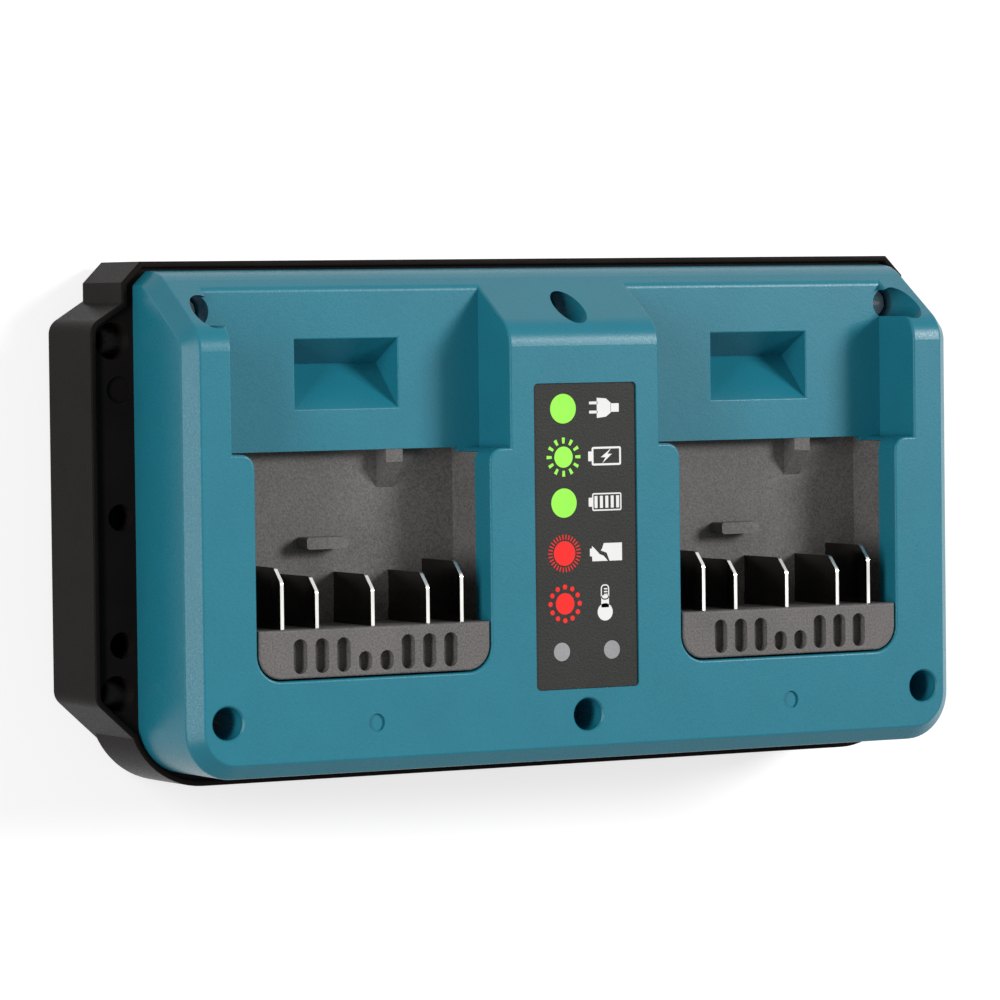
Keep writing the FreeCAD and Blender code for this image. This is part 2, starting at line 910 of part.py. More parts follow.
def window_places():
    """The centres of the two status windows."""
    return ((-size.window_spread / 2, window_y), (size.window_spread / 2, window_y))


def bay_centre(side):
    """The X of one bay's middle."""
    return side * size.bay_pitch / 2


def build_top_shell():
    """The teal moulding: bevelled hood, sloped open end, two bays, latch pockets and screw wells."""
    body = new_body("top_shell")
    build_hood(body)
    roof = face - size.shell_wall / 2
    for side_name, side in BAY_SIDES.items():
        add_bay_walls(body, side_name, bay_centre(side), roof)
    boss_width = size.well_width + size.well_wall * 2
    add_between(body, "well_bosses", rim_top, roof, lambda sketch: circles(sketch, CASE_SCREWS, boss_width))
    tab_screws = [place for side in BAY_SIDES.values() for place in tab_screw_places(bay_centre(side))]
    tab_boss_low = contact_under + size.tab_thickness
    tab_boss_width = size.tab_screw_bore + size.well_wall * 2
    add_between(
        body, "tab_bosses", tab_boss_low, roof, lambda sketch: circles(sketch, tab_screws, tab_boss_width)
    )
    cut_slope(body, "wall_slope")
    for side_name, side in BAY_SIDES.items():
        cut_bay(body, side_name, bay_centre(side))
    soften_bays(body)
    cut_between(
        body, "wells", well_bottom, face, lambda sketch: circles(sketch, CASE_SCREWS, size.well_width)
    )

    def front_well_rim(edge):
        box = edge.BoundBox
        round_rim = near(box.XLength, size.well_width.value) and near(box.YLength, size.well_width.value)
        return round_rim and near(box.ZMin, face.value)

    dress(body, "Chamfer", "well_rims", front_well_rim, size.well_soft)
    cut_between(
        body, "well_holes", rim_top, well_bottom, lambda sketch: circles(sketch, CASE_SCREWS, size.screw_hole)
    )
    tab_bore_top = contact_under + size.tab_screw_length
    cut_between(
        body,
        "tab_bores",
        tab_boss_low,
        tab_bore_top,
        lambda sketch: circles(sketch, tab_screws, size.tab_screw_bore),
    )
    dimples = [(bay_centre(side), shell_front + size.dimple_inset) for side in BAY_SIDES.values()]
    cut_between(
        body,
        "dimples",
        face - size.dimple_depth,
        face,
        lambda sketch: circles(sketch, dimples, size.dimple_width),
    )
    cut_between(
        body,
        "label_recess",
        face - size.label_sink,
        face,
        lambda sketch: span(
            sketch,
            -size.label_width / 2,
            size.label_width / 2,
            label_front,
            label_front + size.label_length,
            size.label_round,
        ),
    )

    cut_between(
        body,
        "window_holes",
        face - size.shell_wall,
        face,
        lambda sketch: circles(sketch, window_places(), size.window_width),
    )
    return body


def ear_corners(side, inset):
    """The corners of one side ear, with its outer edges moved inwards by inset."""
    half = size.base_width / 2
    tip = half + size.ear_reach - inset
    deep = half - size.rim_side - size.shell_wall
    ends = []
    for end, slant in ((1, size.ear_shoulder), (-1, size.ear_heel)):
        length = root(size.ear_reach * size.ear_reach + slant * slant)
        outer = size.ear_centre + end * size.ear_length / 2
        shift = inset * (slant - length) / size.ear_reach
        tip_y = outer + end * shift
        deep_y = tip_y + end * (tip - deep) * slant / size.ear_reach
        ends.append((tip_y, deep_y))
    (top_tip, top_deep), (low_tip, low_deep) = ends
    radius = size.ear_round - inset
    return (
        (side * deep, low_deep),
        (side * tip, low_tip, radius),
        (side * tip, top_tip, radius),
        (side * deep, top_deep),
    )


def base_outline(sketch, inset):
    """The outline of the base without its ears, moved inwards by inset."""
    half = size.base_width / 2 - inset
    low = inset - base_depth / 2
    high = base_depth / 2 - inset
    bevel = size.base_back_bevel - inset * (2 - math.sqrt(2))
    radius = size.base_front_round - inset
    outline(
        sketch,
        (
            (-half, low, radius),
            (half, low, radius),
            (half, high - bevel),
            (half - bevel, high),
            (bevel - half, high),
            (-half, high - bevel),
        ),
    )


def base_ears(body, name, act, low, high, inset):
    """Add or cut both ears between two heights."""
    for side_name, side in BAY_SIDES.items():
        act(
            body,
            f"{name}_{side_name}",
            low,
            high,
            lambda sketch, side=side: outline(sketch, ear_corners(side, as_size(inset))),
        )


def rows(half_width, half_depth, centre=0):
    """The four corners of a rectangle of holes."""
    return [(x * half_width, centre + y * half_depth) for x in (-1, 1) for y in (-1, 1)]


def foot_places():
    """Where the four rubber feet sit."""
    return rows(size.base_width / 2 - size.foot_side_inset, base_depth / 2 - size.foot_end_inset)


def board_screw_places():
    """Where the board's four screws stand."""
    half_depth = (board_back - board_front) / 2 - size.board_screw_inset
    return rows(board_half - size.board_screw_inset, half_depth, (board_front + board_back) / 2)


def peg_places(first):
    """Blind holes down both ears: the first of each row, or the two that follow it."""
    steps = (1,) if first else (0, -1)
    return [
        (side * (size.base_width / 2 + size.peg_reach), size.mount_centre + step * size.peg_pitch)
        for side in BAY_SIDES.values()
        for step in steps
    ]


def build_base_shell():
    """The black tray that everything stands in, with its rim, its ears and the pillars for the screws."""
    body = new_body("base_shell")
    add_between(body, "plan", underside, rim_top, lambda sketch: base_outline(sketch, as_size(0)))

    def under_edge(edge):
        return near(edge.BoundBox.ZMax, underside.value)

    dress(body, "Fillet", "under_round", under_edge, size.base_edge_round)
    base_ears(body, "ears", add_between, underside, rim_top, 0)
    cut_between(body, "ledge", ledge_top, rim_top, lambda sketch: base_outline(sketch, size.lip_width))
    base_ears(body, "ear_ledge", cut_between, ledge_top, rim_top, size.lip_width)

    def lip_edge(edge):
        return near(edge.BoundBox.ZMin, rim_top.value)

    dress(body, "Fillet", "lip_soft", lip_edge, size.lip_soft)
    inset = size.shell_wall + size.tray_margin
    cut_between(
        body,
        "tray",
        floor_top,
        ledge_top,
        lambda sketch: span(
            sketch,
            inset - shell_half,
            shell_half - inset,
            shell_front + inset,
            shell_back - inset,
            size.shell_round - inset,
        ),
    )
    pillar_top = rim_top - size.pillar_gap
    add_between(
        body, "pillars", floor_top, pillar_top, lambda sketch: circles(sketch, CASE_SCREWS, size.pillar_width)
    )
    screw_low = well_bottom - size.screw_length - size.screw_tip_gap
    cut_between(
        body,
        "pillar_bores",
        screw_low,
        pillar_top,
        lambda sketch: circles(sketch, CASE_SCREWS, size.screw_bore),
    )
    standoffs = board_screw_places()
    add_between(
        body,
        "standoffs",
        floor_top,
        board_under,
        lambda sketch: circles(sketch, standoffs, size.standoff_width),
    )
    cut_between(
        body,
        "standoff_bores",
        floor_top,
        board_under,
        lambda sketch: circles(sketch, standoffs, size.board_screw_bore),
    )
    mounts = rows(size.base_width / 2 + size.mount_reach, size.mount_pitch / 2, size.mount_centre)
    cut_between(
        body,
        "mount_wells",
        underside + size.mount_web,
        ledge_top,
        lambda sketch: circles(sketch, mounts, size.mount_well),
    )
    cut_between(
        body,
        "mount_holes",
        underside,
        underside + size.mount_web,
        lambda sketch: circles(sketch, mounts, size.mount_hole),
    )
    pegs = (("peg_marks", True, size.peg_mark_depth), ("peg_holes", False, size.peg_depth))
    for name, first, depth in pegs:
        cut_between(
            body,
            name,
            ledge_top - depth,
            ledge_top,
            lambda sketch, first=first: circles(sketch, peg_places(first), size.peg_hole),
        )
    seat_width = size.foot_width + size.foot_play * 2
    cut_between(
        body,
        "foot_seats",
        underside,
        underside + size.foot_seat,
        lambda sketch: circles(sketch, foot_places(), seat_width),
    )

    first_slot = -(SLOT_COLUMNS - 1) / 2 * size.slot_pitch

    def slot_pair(sketch):
        for row in (-1, 1):
            middle = row * (size.slot_length / 2 + size.slot_pitch / 2)
            low = middle - size.slot_length / 2
            pill(sketch, first_slot, low, low + size.slot_length, size.slot_width)

    first = cut_between(body, "floor_slot", underside, floor_top, slot_pair)
    repeat(body, "floor_slots", first, "H_Axis", -2 * first_slot, SLOT_COLUMNS)
    add_inlet_seat(body)
    return body


def inlet_middle():
    """The height of the inlet's middle."""
    return floor_top + size.inlet_rise


def add_inlet_seat(body):
    """The hole in the base wall that frames the mains inlet, and the rest under its body."""
    low = inlet_middle() - size.inlet_height / 2
    half_width = size.inlet_width / 2 + size.inlet_play
    sketch = sketch_on(body, "inlet_frame_sketch", "XZ_Plane", -rim_back_y)
    middle = inlet_middle()
    rectangle(sketch, size.inlet_x, middle, half_width * 2, size.inlet_height + size.inlet_play * 2)
    frame = cut_from(body, "inlet_frame", sketch, size.inlet_depth / 2)
    frame.Reversed = True
    rest_back = shell_back - size.shell_wall * 2 - size.inlet_flange_thickness
    rest_front = rim_back_y - size.inlet_face_sink - size.inlet_depth
    add_between(
        body,
        "inlet_rest",
        floor_top,
        low,
        lambda sketch: span(
            sketch,
            size.inlet_x - size.inlet_width / 2,
            size.inlet_x + size.inlet_width / 2,
            rest_front + size.inlet_rest_gap,
            rest_back,
        ),
    )


def blade_places():
    """Where each kind of blade stands across one bay."""
    half = size.power_spread / 2
    return {
        "positive_blade": (half,),
        "negative_blade": (-half,),
        "signal_blades": (-size.signal_spread, as_size(0), size.signal_spread),
    }


def blade_root():
    """The Y of the blades' roots, just clear of the terminal block."""
    return bay_front + size.block_gap + size.block_length + size.blade_root_gap


def blade_tail(kind):
    """The width of the tail that carries a blade down to the board."""
    return size.signal_tail if kind == "signal_blades" else size.power_tail


def tail_holes(sketch, centre, play):
    """Draw the slots that the blades' tails pass through."""
    for kind, places in blade_places().items():
        for x in places:
            span(
                sketch,
                centre + x - size.blade_thickness / 2 - play,
                centre + x + size.blade_thickness / 2 + play,
                blade_root() - play,
                blade_root() + blade_tail(kind) + play,
            )


def build_terminal_housing(side_name, side):
    """The dark moulding in one bay: walled floor, slotted terminal block, stop bar and wedge."""
    body = new_body(f"{side_name}_terminal_housing", bay_centre(side))
    outer = housing_half
    inner = outer - size.housing_wall
    front = bay_front - size.housing_setback
    front_out = front - size.housing_wall
    wall_end = bay_step - size.step_skin - size.housing_seat
    end = bay_step + size.housing_tuck
    radius = size.bay_corner + size.housing_setback

    def tall_plan(sketch):
        big = radius + size.housing_wall
        corners = ((-outer, front_out, big), (outer, front_out, big), (outer, wall_end), (-outer, wall_end))
        outline(sketch, corners)

    add_between(body, "walls", contact_under, lip_under - size.housing_seat, tall_plan)
    low_start = bay_step - size.bay_wall * 2
    add_between(
        body,
        "tail",
        contact_under,
        pocket_under - size.housing_seat,
        lambda sketch: span(sketch, -outer, outer, low_start, end),
    )

    def room_plan(sketch):
        back = end - size.housing_wall
        outline(sketch, ((-inner, front, radius), (inner, front, radius), (inner, back), (-inner, back)))

    cut_between(body, "room", contact_top, face, room_plan)
    block_front = bay_front + size.block_gap
    block_back = block_front + size.block_length
    half = contact_width / 2 - size.block_gap
    corner = size.bay_corner - size.block_gap

    def block_plan(sketch, inset=0):
        low_x, high_x = inset - half, half - inset
        low_y, high_y = block_front + inset, block_back - inset
        radius = corner - inset
        outline(sketch, ((low_x, low_y, radius), (high_x, low_y, radius), (high_x, high_y), (low_x, high_y)))

    add_between(body, "block", contact_under, face, block_plan)

    def block_rim(edge):
        return near(edge.BoundBox.ZMin, face.value)

    dress(body, "Fillet", "block_soft", block_rim, size.block_soft)
    cut_between(
        body,
        "block_hollow",
        contact_under,
        face - size.pill_depth - size.block_core,
        lambda sketch: block_plan(sketch, size.block_core),
    )

    def pills(sketch):
        low = block_front + size.pill_inset
        for index in range(PILL_COUNT):
            place = index - (PILL_COUNT - 1) / 2
            length = size.pill_short if abs(place) < 1 else size.pill_long
            pill(sketch, place * size.pill_pitch, low, low + length, size.pill_width)

    cut_between(body, "pills", face - size.pill_depth, face, pills)
    bar_low = bay_front + size.bar_place
    add_between(
        body,
        "bar",
        contact_under,
        contact_top + size.bar_rise,
        lambda sketch: span(
            sketch,
            size.bar_shift - size.bar_width / 2,
            size.bar_shift + size.bar_width / 2,
            bar_low,
            bar_low + size.bar_length,
            size.bar_round,
        ),
    )
    wedge = sketch_on(body, "wedge_sketch", "YZ_Plane", size.wedge_shift)
    wedge_end = bay_step - size.housing_seat
    wedge_start = wedge_end - size.wedge_length
    wedge_top = pocket_under + size.pocket_floor
    outline(
        wedge,
        (
            (wedge_start, contact_under),
            (wedge_end, contact_under),
            (wedge_end, wedge_top),
            (wedge_end - size.wedge_flat, wedge_top),
            (wedge_start, contact_top),
        ),
    )
    raise_from(body, "wedge", wedge, size.wedge_width, symmetric=True)

    def tabs(sketch):
        root_x = outer - size.tab_root
        tip_x = outer + size.tab_screw_reach + size.tab_width / 2
        y = bay_front + size.tab_screw_place
        for low_x, high_x in ((root_x, tip_x), (-tip_x, -root_x)):
            span(sketch, low_x, high_x, y - size.tab_width / 2, y + size.tab_width / 2, size.tab_round)

    add_between(body, "tabs", contact_under, contact_under + size.tab_thickness, tabs)
    places = tab_screw_places(as_size(0))
    cut_between(
        body,
        "tab_holes",
        contact_under,
        contact_under + size.tab_thickness,
        lambda sketch: circles(sketch, places, size.tab_screw_hole),
    )
    cut_between(
        body,
        "blade_slots",
        contact_under,
        contact_top,
        lambda sketch: tail_holes(sketch, as_size(0), size.blade_slot_play),
    )
    return body


def build_blades(side_name, side, kind, places):
    """Bare metal contact blades: upright plates whose tails reach through the floor to the board."""
    body = new_body(f"{side_name}_{kind}", bay_centre(side))
    length = size.signal_length if kind == "signal_blades" else size.power_length
    top = face - size.blade_sink
    tail_end = board_under - size.tail_proud
    start = blade_root()
    tail_y = start + blade_tail(kind)
    for index, x in enumerate(places):
        sketch = sketch_on(body, f"blade_{index}_sketch", "YZ_Plane", x)
        outline(
            sketch,
            (
                (start, tail_end),
                (tail_y, tail_end),
                (tail_y, contact_top),
                (start + length, contact_top),
                (start + length, top - size.blade_nose, size.blade_round),
                (start + length - size.blade_nose, top, size.blade_round),
                (start, top),
            ),
        )
        raise_from(body, f"blade_{index}", sketch, size.blade_thickness, symmetric=True)
    return body


def build_label_panel():
    """The dark indicator panel, set into the ridge between the bays."""
    body = new_body("label_panel")
    low = face - size.label_sink
    play = size.label_play
    middle = label_front + size.label_length / 2
    add_between(
        body,
        "panel",
        low,
        low + size.label_thickness,
        lambda sketch: rectangle(
            sketch,
            0,
            middle,
            size.label_width - play * 2,
            size.label_length - play * 2,
            size.label_round - play,
        ),
    )

    cut_between(
        body,
        "windows",
        low,
        low + size.label_thickness,
        lambda sketch: circles(sketch, window_places(), size.window_width),
    )
    return body


def build_light_pipes():
    """Two clear rods that carry each status light from the board up to its window."""
    body = new_body("light_pipes")
    led_top = board_top + size.led_height
    top = face - size.label_sink + size.label_thickness
    roof = face - size.shell_wall

    rod_width = size.window_width - size.window_play * 2
    collar_width = size.window_width + size.pipe_flange * 2
    places = window_places()
    add_between(body, "rods", led_top + size.led_gap, top, lambda sketch: circles(sketch, places, rod_width))
    add_between(
        body, "collars", roof - size.pipe_flange, roof, lambda sketch: circles(sketch, places, collar_width)
    )
    return body


def build_status_leds():
    """The two status lights on the board."""
    body = new_body("status_leds")

    def squares(sketch):
        for x, y in window_places():
            rectangle(sketch, x, y, size.led_width, size.led_width, size.led_round)

    add_between(body, "lights", board_top, board_top + size.led_height, squares)
    return body


def build_main_board():
    """The circuit board, with slots for the blades' tails and holes for its screws."""
    body = new_body("main_board")
    add_between(
        body,
        "board",
        board_under,
        board_top,
        lambda sketch: span(sketch, -board_half, board_half, board_front, board_back, size.board_round),
    )

    def slots(sketch):
        for side in BAY_SIDES.values():
            tail_holes(sketch, bay_centre(side), size.blade_slot_play)

    cut_between(body, "tail_slots", board_under, board_top, slots)
    cut_between(
        body,
        "screw_holes",
        board_under,
        board_top,
        lambda sketch: circles(sketch, board_screw_places(), size.board_screw_hole),
    )
    return body


def build_screws(label, places, seat, head_width, head_height, shank_width, length, up):
    """Pan-head screws: heads on one level, shanks down into their bores, or up when up is 1."""
    body = new_body(label)
    head_low = seat if up < 0 else seat - head_height
    shank_low = seat - length if up < 0 else seat
    for name, low, height, width in (
        ("heads", head_low, head_height, head_width),
        ("shanks", shank_low, length, shank_width),
    ):
        add_between(body, name, low, low + height, lambda sketch, width=width: circles(sketch, places, width))

    def drives(sketch):
        arm = head_width * DRIVE_REACH_SHARE
        slim = head_width * DRIVE_SLOT_SHARE
        for x, y in places:
            outline(
                sketch,
                (
                    (x - arm, y - slim),
                    (x - slim, y - slim),
                    (x - slim, y - arm),
                    (x + slim, y - arm),
                    (x + slim, y - slim),
                    (x + arm, y - slim),
                    (x + arm, y + slim),
                    (x + slim, y + slim),
                    (x + slim, y + arm),
                    (x - slim, y + arm),
                    (x - slim, y + slim),
                    (x - arm, y + slim),
                ),
            )

    drive_depth = head_height * DRIVE_DEPTH_SHARE
    drive_low = head_low + head_height - drive_depth if up < 0 else head_low
    cut_between(body, "drives", drive_low, drive_low + drive_depth, drives)
    return body


def build_rubber_feet():
    """Four round feet, set in their seats under the base."""
    body = new_body("rubber_feet")
    top = underside + size.foot_seat
    add_between(body, "feet", as_size(0), top, lambda sketch: circles(sketch, foot_places(), size.foot_width))

    def lower_rim(edge):
        return near(edge.BoundBox.ZMax, 0)

    dress(body, "Chamfer", "lower_bevel", lower_rim, size.foot_bevel)
    return body


def build_transformer():
    """The transformer under the ridge: a core with two windows and the winding on its middle leg."""
    core = new_body("transformer_core")
    half = size.core_width / 2
    yoke = size.core_leg
    window = half - size.core_leg - size.core_yoke_side / 2
    y = board_back - size.transformer_back
    sketch = sketch_on(core, "core_sketch", "XZ_Plane", -y)
    span(sketch, -half, half, board_top, board_top + size.core_height)
    for side in (-1, 1):
        middle = side * (size.core_yoke_side / 2 + window / 2)
        rectangle(sketch, middle, board_top + size.core_height / 2, window, size.core_height - yoke * 2)
    raise_from(core, "core", sketch, size.core_depth / 2, symmetric=True)
    winding = new_body("transformer_winding")
    play = size.winding_play
    low = board_top + yoke + play
    high = board_top + size.core_height - yoke - play
    reach = size.core_yoke_side / 2 + window - play

    def plan(sketch):
        depth = size.core_depth - size.winding_inset * 2
        rectangle(sketch, 0, y, reach * 2, depth, size.core_yoke_side / 2)
        rectangle(sketch, 0, y, size.core_yoke_side + play * 2, size.core_depth / 2 + play * 2)

    add_between(winding, "winding", low, high, plan)
    return [core, winding]


def build_heat_sink(name, side):
    """An upright finned plate beside the transformer."""
    body = new_body(name)
    x = side * size.sink_spread / 2
    inner_x = x - side * (size.sink_thickness / 2 + size.fin_depth)
    outer_x = x + side * size.sink_thickness / 2
    plate_x = x - side * size.sink_thickness / 2
    top = board_top + size.sink_height
    low_y = board_back - size.sink_back - size.sink_length / 2
    high_y = low_y + size.sink_length

    def plate(sketch):
        low_x, high_x = (plate_x, outer_x) if side > 0 else (outer_x, plate_x)
        span(sketch, low_x, high_x, low_y, high_y)

    def fin(sketch):
        low_x, high_x = (inner_x, x) if side > 0 else (x, inner_x)
        span(sketch, low_x, high_x, low_y, low_y + size.fin_thickness)

    add_between(body, "plate", board_top, top, plate)
    first = add_between(body, "fin", board_top, top, fin)
    fins = 1 + round((size.sink_length / size.fin_pitch).value)
    repeat(body, "fins", first, "V_Axis", size.sink_length - size.fin_thickness, fins)
    return body


def build_power_chips(name, side, steps):
    """Flat power packages that stand against the outside of a heat sink."""
    body = new_body(name)
    inner = size.sink_spread / 2 + size.sink_thickness / 2
    outer = inner + size.chip_thickness
    low_x, high_x = (inner, outer) if side > 0 else (-outer, -inner)

    def plan(sketch):
        for step in steps:
            y = board_back - size.sink_back + step * size.chip_pitch / 2
            span(sketch, low_x, high_x, y - size.chip_width / 2, y + size.chip_width / 2)

    add_between(body, "chips", board_top, board_top + size.chip_height, plan)
    return body


def build_bulk_capacitor():
    """The large mains capacitor, lying on the board."""
    body = new_body("bulk_capacitor")
    sketch = sketch_on(body, "can_sketch", "YZ_Plane", size.bulk_x)
    middle = (board_back - size.bulk_back, board_top + size.bulk_width / 2)
    circles(sketch, (middle,), size.bulk_width)
    raise_from(body, "can", sketch, size.bulk_length, symmetric=True)

    def end_rim(edge):
        return near(edge.BoundBox.XLength, 0)

    dress(body, "Chamfer", "can_rims", end_rim, size.can_bevel)
    return body


def build_output_capacitors():
    """A row of upright output capacitors."""
    body = new_body("output_capacitors")
    y = board_back - size.output_can_back
    places = [
        (size.output_can_x + (index - (CAN_COUNT - 1) / 2) * size.output_can_pitch, y)
        for index in range(CAN_COUNT)
    ]
    top = board_top + size.output_can_height
    add_between(body, "cans", board_top, top, lambda sketch: circles(sketch, places, size.output_can_width))

    def top_rim(edge):
        return near(edge.BoundBox.ZMin, top.value)

    dress(body, "Chamfer", "can_rims", top_rim, size.can_bevel)
    return body


def build_ring(label, x, y, winding):
    """A toroid lying on the board: the bare core, or the winding that wraps most of it."""
    body = new_body(label)
    place = Vector(x.value, y.value, (board_top + size.ring_wire).value)
    body.Placement = Placement(place, Rotation())
    for axis, text in (("x", x.text), ("y", y.text), ("z", (board_top + size.ring_wire).text)):
        body.setExpression(f"Placement.Base.{axis}", text)
    sketch = sketch_on(body, "section", "XZ_Plane")
    low, high = size.ring_inner / 2, size.ring_outer / 2
    play = size.winding_play / 2
    if winding:
        wire = size.ring_wire
        span(sketch, low - wire, high + wire, -wire, size.ring_height + wire)
        span(sketch, low - play, high + play, -play, size.ring_height + play)
    else:
        span(sketch, low, high, 0, size.ring_height)
    ring = body.newObject("PartDesign::Revolution", "ring")
    ring.Profile = sketch
    ring.ReferenceAxis = (sketch, ["V_Axis"])
    ring.Angle = WRAPPED_ANGLE if winding else 360
    return body


def build_blocks(label, places, width, depth, height, bevel=None):
    """Plain moulded packages that stand on the board."""
    body = new_body(label)

    def plan(sketch):
        for x, y in places:
            rectangle(sketch, x, y, width, depth, bevel)

    add_between(body, "packages", board_top, board_top + height, plan)
    return body


def build_fuse():
    """The glass fuse and the two spring clips that hold it over the board."""
    tube = new_body("fuse_tube")
    middle = board_top + size.fuse_lift + size.fuse_width / 2
    fuse_y = board_back - size.fuse_back
    sketch = sketch_on(tube, "tube_sketch", "XZ_Plane", -fuse_y)
    circles(sketch, ((size.fuse_x, middle),), size.fuse_width)
    raise_from(tube, "tube", sketch, size.fuse_length, symmetric=True)
    clips = new_body("fuse_clips")
    half = size.fuse_width / 2 + size.clip_sheet

    def plan(sketch):
        for end in (-1, 1):
            y = fuse_y + end * (size.fuse_length - size.clip_length) / 2
            rectangle(sketch, size.fuse_x, y, half * 2, size.clip_length)

    add_between(clips, "clips", board_top, middle + size.clip_rise, plan)
    sketch = sketch_on(clips, "clip_bore_sketch", "XZ_Plane", -fuse_y)
    grip = size.fuse_width + size.winding_play
    circles(sketch, ((size.fuse_x, middle),), grip)
    cut_from(clips, "clip_bore", sketch, size.fuse_length * 2, symmetric=True)
    return [tube, clips]


def build_inlet():
    """The two-pin mains inlet: flanged body with its socket, and the pins in it."""
    body = new_body("mains_inlet")
    middle = inlet_middle()
    mouth = rim_back_y - size.inlet_face_sink
    tray_back = shell_back - size.shell_wall - size.tray_margin
    sketch = sketch_on(body, "body_sketch", "XZ_Plane", -mouth)
    rectangle(sketch, size.inlet_x, middle, size.inlet_width, size.inlet_height, size.inlet_round)
    raise_from(body, "body", sketch, size.inlet_depth)
    sketch = sketch_on(body, "flange_sketch", "XZ_Plane", size.inlet_play - tray_back)
    flange_width = size.inlet_width + size.inlet_flange * 2
    flange_height = size.inlet_height + size.inlet_flange
    rectangle(sketch, size.inlet_x, middle, flange_width, flange_height, size.inlet_round)
    raise_from(body, "flange", sketch, size.inlet_flange_thickness)
    sketch = sketch_on(body, "socket_sketch", "XZ_Plane", -mouth)
    for way in (-1, 1):
        circles(sketch, ((size.inlet_x + way * size.inlet_pin_spread / 2, middle),), size.inlet_hole)
    socket = cut_from(body, "socket", sketch, size.inlet_hole_depth)
    socket.Reversed = True
    sketch = sketch_on(body, "waist_sketch", "XZ_Plane", -mouth)
    rectangle(sketch, size.inlet_x, middle, size.inlet_pin_spread, size.inlet_waist)
    waist = cut_from(body, "waist", sketch, size.inlet_hole_depth)
    waist.Reversed = True
    pins = new_body("inlet_pins")
    pin_low = mouth - size.inlet_depth - size.inlet_tail
    pin_high = mouth - size.inlet_hole_depth + size.inlet_pin_proud
    sketch = sketch_on(pins, "pins_sketch", "XZ_Plane", -pin_high)
    for way in (-1, 1):
        circles(sketch, ((size.inlet_x + way * size.inlet_pin_spread / 2, middle),), size.inlet_pin_width)
    raise_from(pins, "pins", sketch, pin_high - pin_low)
    sketch = sketch_on(body, "pin_holes_sketch", "XZ_Plane", -mouth)
    for way in (-1, 1):
        bore = size.inlet_pin_width + size.inlet_play
        circles(sketch, ((size.inlet_x + way * size.inlet_pin_spread / 2, middle),), bore)
    bores = cut_from(body, "pin_holes", sketch, size.inlet_depth)
    bores.Reversed = True
    return [body, pins]


def build_all():
    """Every sub-part of the charger."""
    parts = [build_top_shell(), build_base_shell()]
    for side_name, side in BAY_SIDES.items():
        parts.append(build_terminal_housing(side_name, side))
        for kind, places in blade_places().items():
            parts.append(build_blades(side_name, side, kind, places))
    parts += [build_label_panel(), build_light_pipes(), build_status_leds(), build_main_board()]
    parts.append(
        build_screws(
            "case_screws",
            CASE_SCREWS,
            well_bottom,
            size.screw_head,
            size.screw_head_height,
            size.screw_shank,
            size.screw_length,
            -1,
        )
    )
    parts.append(
        build_screws(
            "board_screws",
            board_screw_places(),
            board_top,
            size.board_screw_head,
            size.board_screw_head_height,
            size.board_screw_shank,
            size.board_screw_length,
            -1,
        )
    )
    parts.append(
        build_screws(
            "housing_screws",
            [place for side in BAY_SIDES.values() for place in tab_screw_places(bay_centre(side))],
            contact_under,
            size.tab_screw_head,
            size.tab_screw_head_height,
            size.tab_screw_bore - size.thread_play,
            size.tab_screw_length - size.thread_gap,
            1,
        )
    )
    parts.append(build_rubber_feet())
    parts += build_transformer()
    parts.append(build_heat_sink("primary_heat_sink", 1))
    parts.append(build_heat_sink("secondary_heat_sink", -1))
    parts.append(build_power_chips("switching_transistor", 1, (0,)))
    parts.append(build_power_chips("output_rectifiers", -1, (-1, 1)))
    parts += [build_bulk_capacitor(), build_output_capacitors()]
    for name, x, y in (
        ("filter_choke", size.choke_x, board_back - size.choke_back),
        ("output_inductor", size.inductor_x, board_back - size.inductor_back),
    ):
        parts.append(build_ring(f"{name}_core", x, y, winding=False))
        parts.append(build_ring(f"{name}_winding", x, y, winding=True))
    cap = ((size.filter_cap_x, board_back - size.filter_cap_back),)
    parts.append(
        build_blocks(
            "filter_capacitor",
            cap,
            size.filter_cap_width,
            size.filter_cap_depth,
            size.filter_cap_height,
            size.filter_cap_round,
        )
    )
    bridge = ((size.bridge_x, board_back - size.bridge_back),)
    parts.append(
        build_blocks("bridge_rectifier", bridge, size.bridge_width, size.bridge_depth, size.bridge_height)
    )
    relays = [(size.relay_x + way * size.relay_pitch / 2, board_back - size.relay_back) for way in (-1, 1)]
    parts.append(build_blocks("charge_relays", relays, size.relay_width, size.relay_depth, size.relay_height))
    chip = ((size.control_x, bay_front + size.control_inset),)
    parts.append(
        build_blocks("control_chip", chip, size.control_width, size.control_depth, size.control_height)
    )
    parts += build_fuse()
    parts += build_inlet()
    return parts


def check(parts):
    """Stop when any object failed or any sub-part has no sound solid."""
    document.recompute()
    for item in document.Objects:
        if {"Invalid", "Error"} & set(item.State):
            raise RuntimeError(f"{item.Name} failed: {item.State}")
    for part in parts:
        if part.Shape.isNull() or not part.Shape.isValid() or not part.Shape.Solids:
            raise RuntimeError(f"{part.Label} has no sound solid")


def write(parts):
    """Write each sub-part's shape under its own name."""
    os.makedirs("parts", exist_ok=True)
    for part in parts:
        part.Shape.exportStep(f"parts/{part.Label}.step")
        print(part.Label, len(part.Shape.Solids), round(part.Shape.Volume))


parts = build_all()
check(parts)
write(parts)
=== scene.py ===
# %% [markdown]
# # A two-bay battery charger
#
# The charger is a black tray with a teal hood on top. Two bays in the hood take slide-on
# batteries, and a dark panel between them carries pictograms and two status lights.
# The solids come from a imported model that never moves, so this lesson only gives them their
# finishes, adds the printing on the panel and sets up a small studio.

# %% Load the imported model
import json
import math

import bpy
import numpy as np
from mathutils import Matrix, Vector


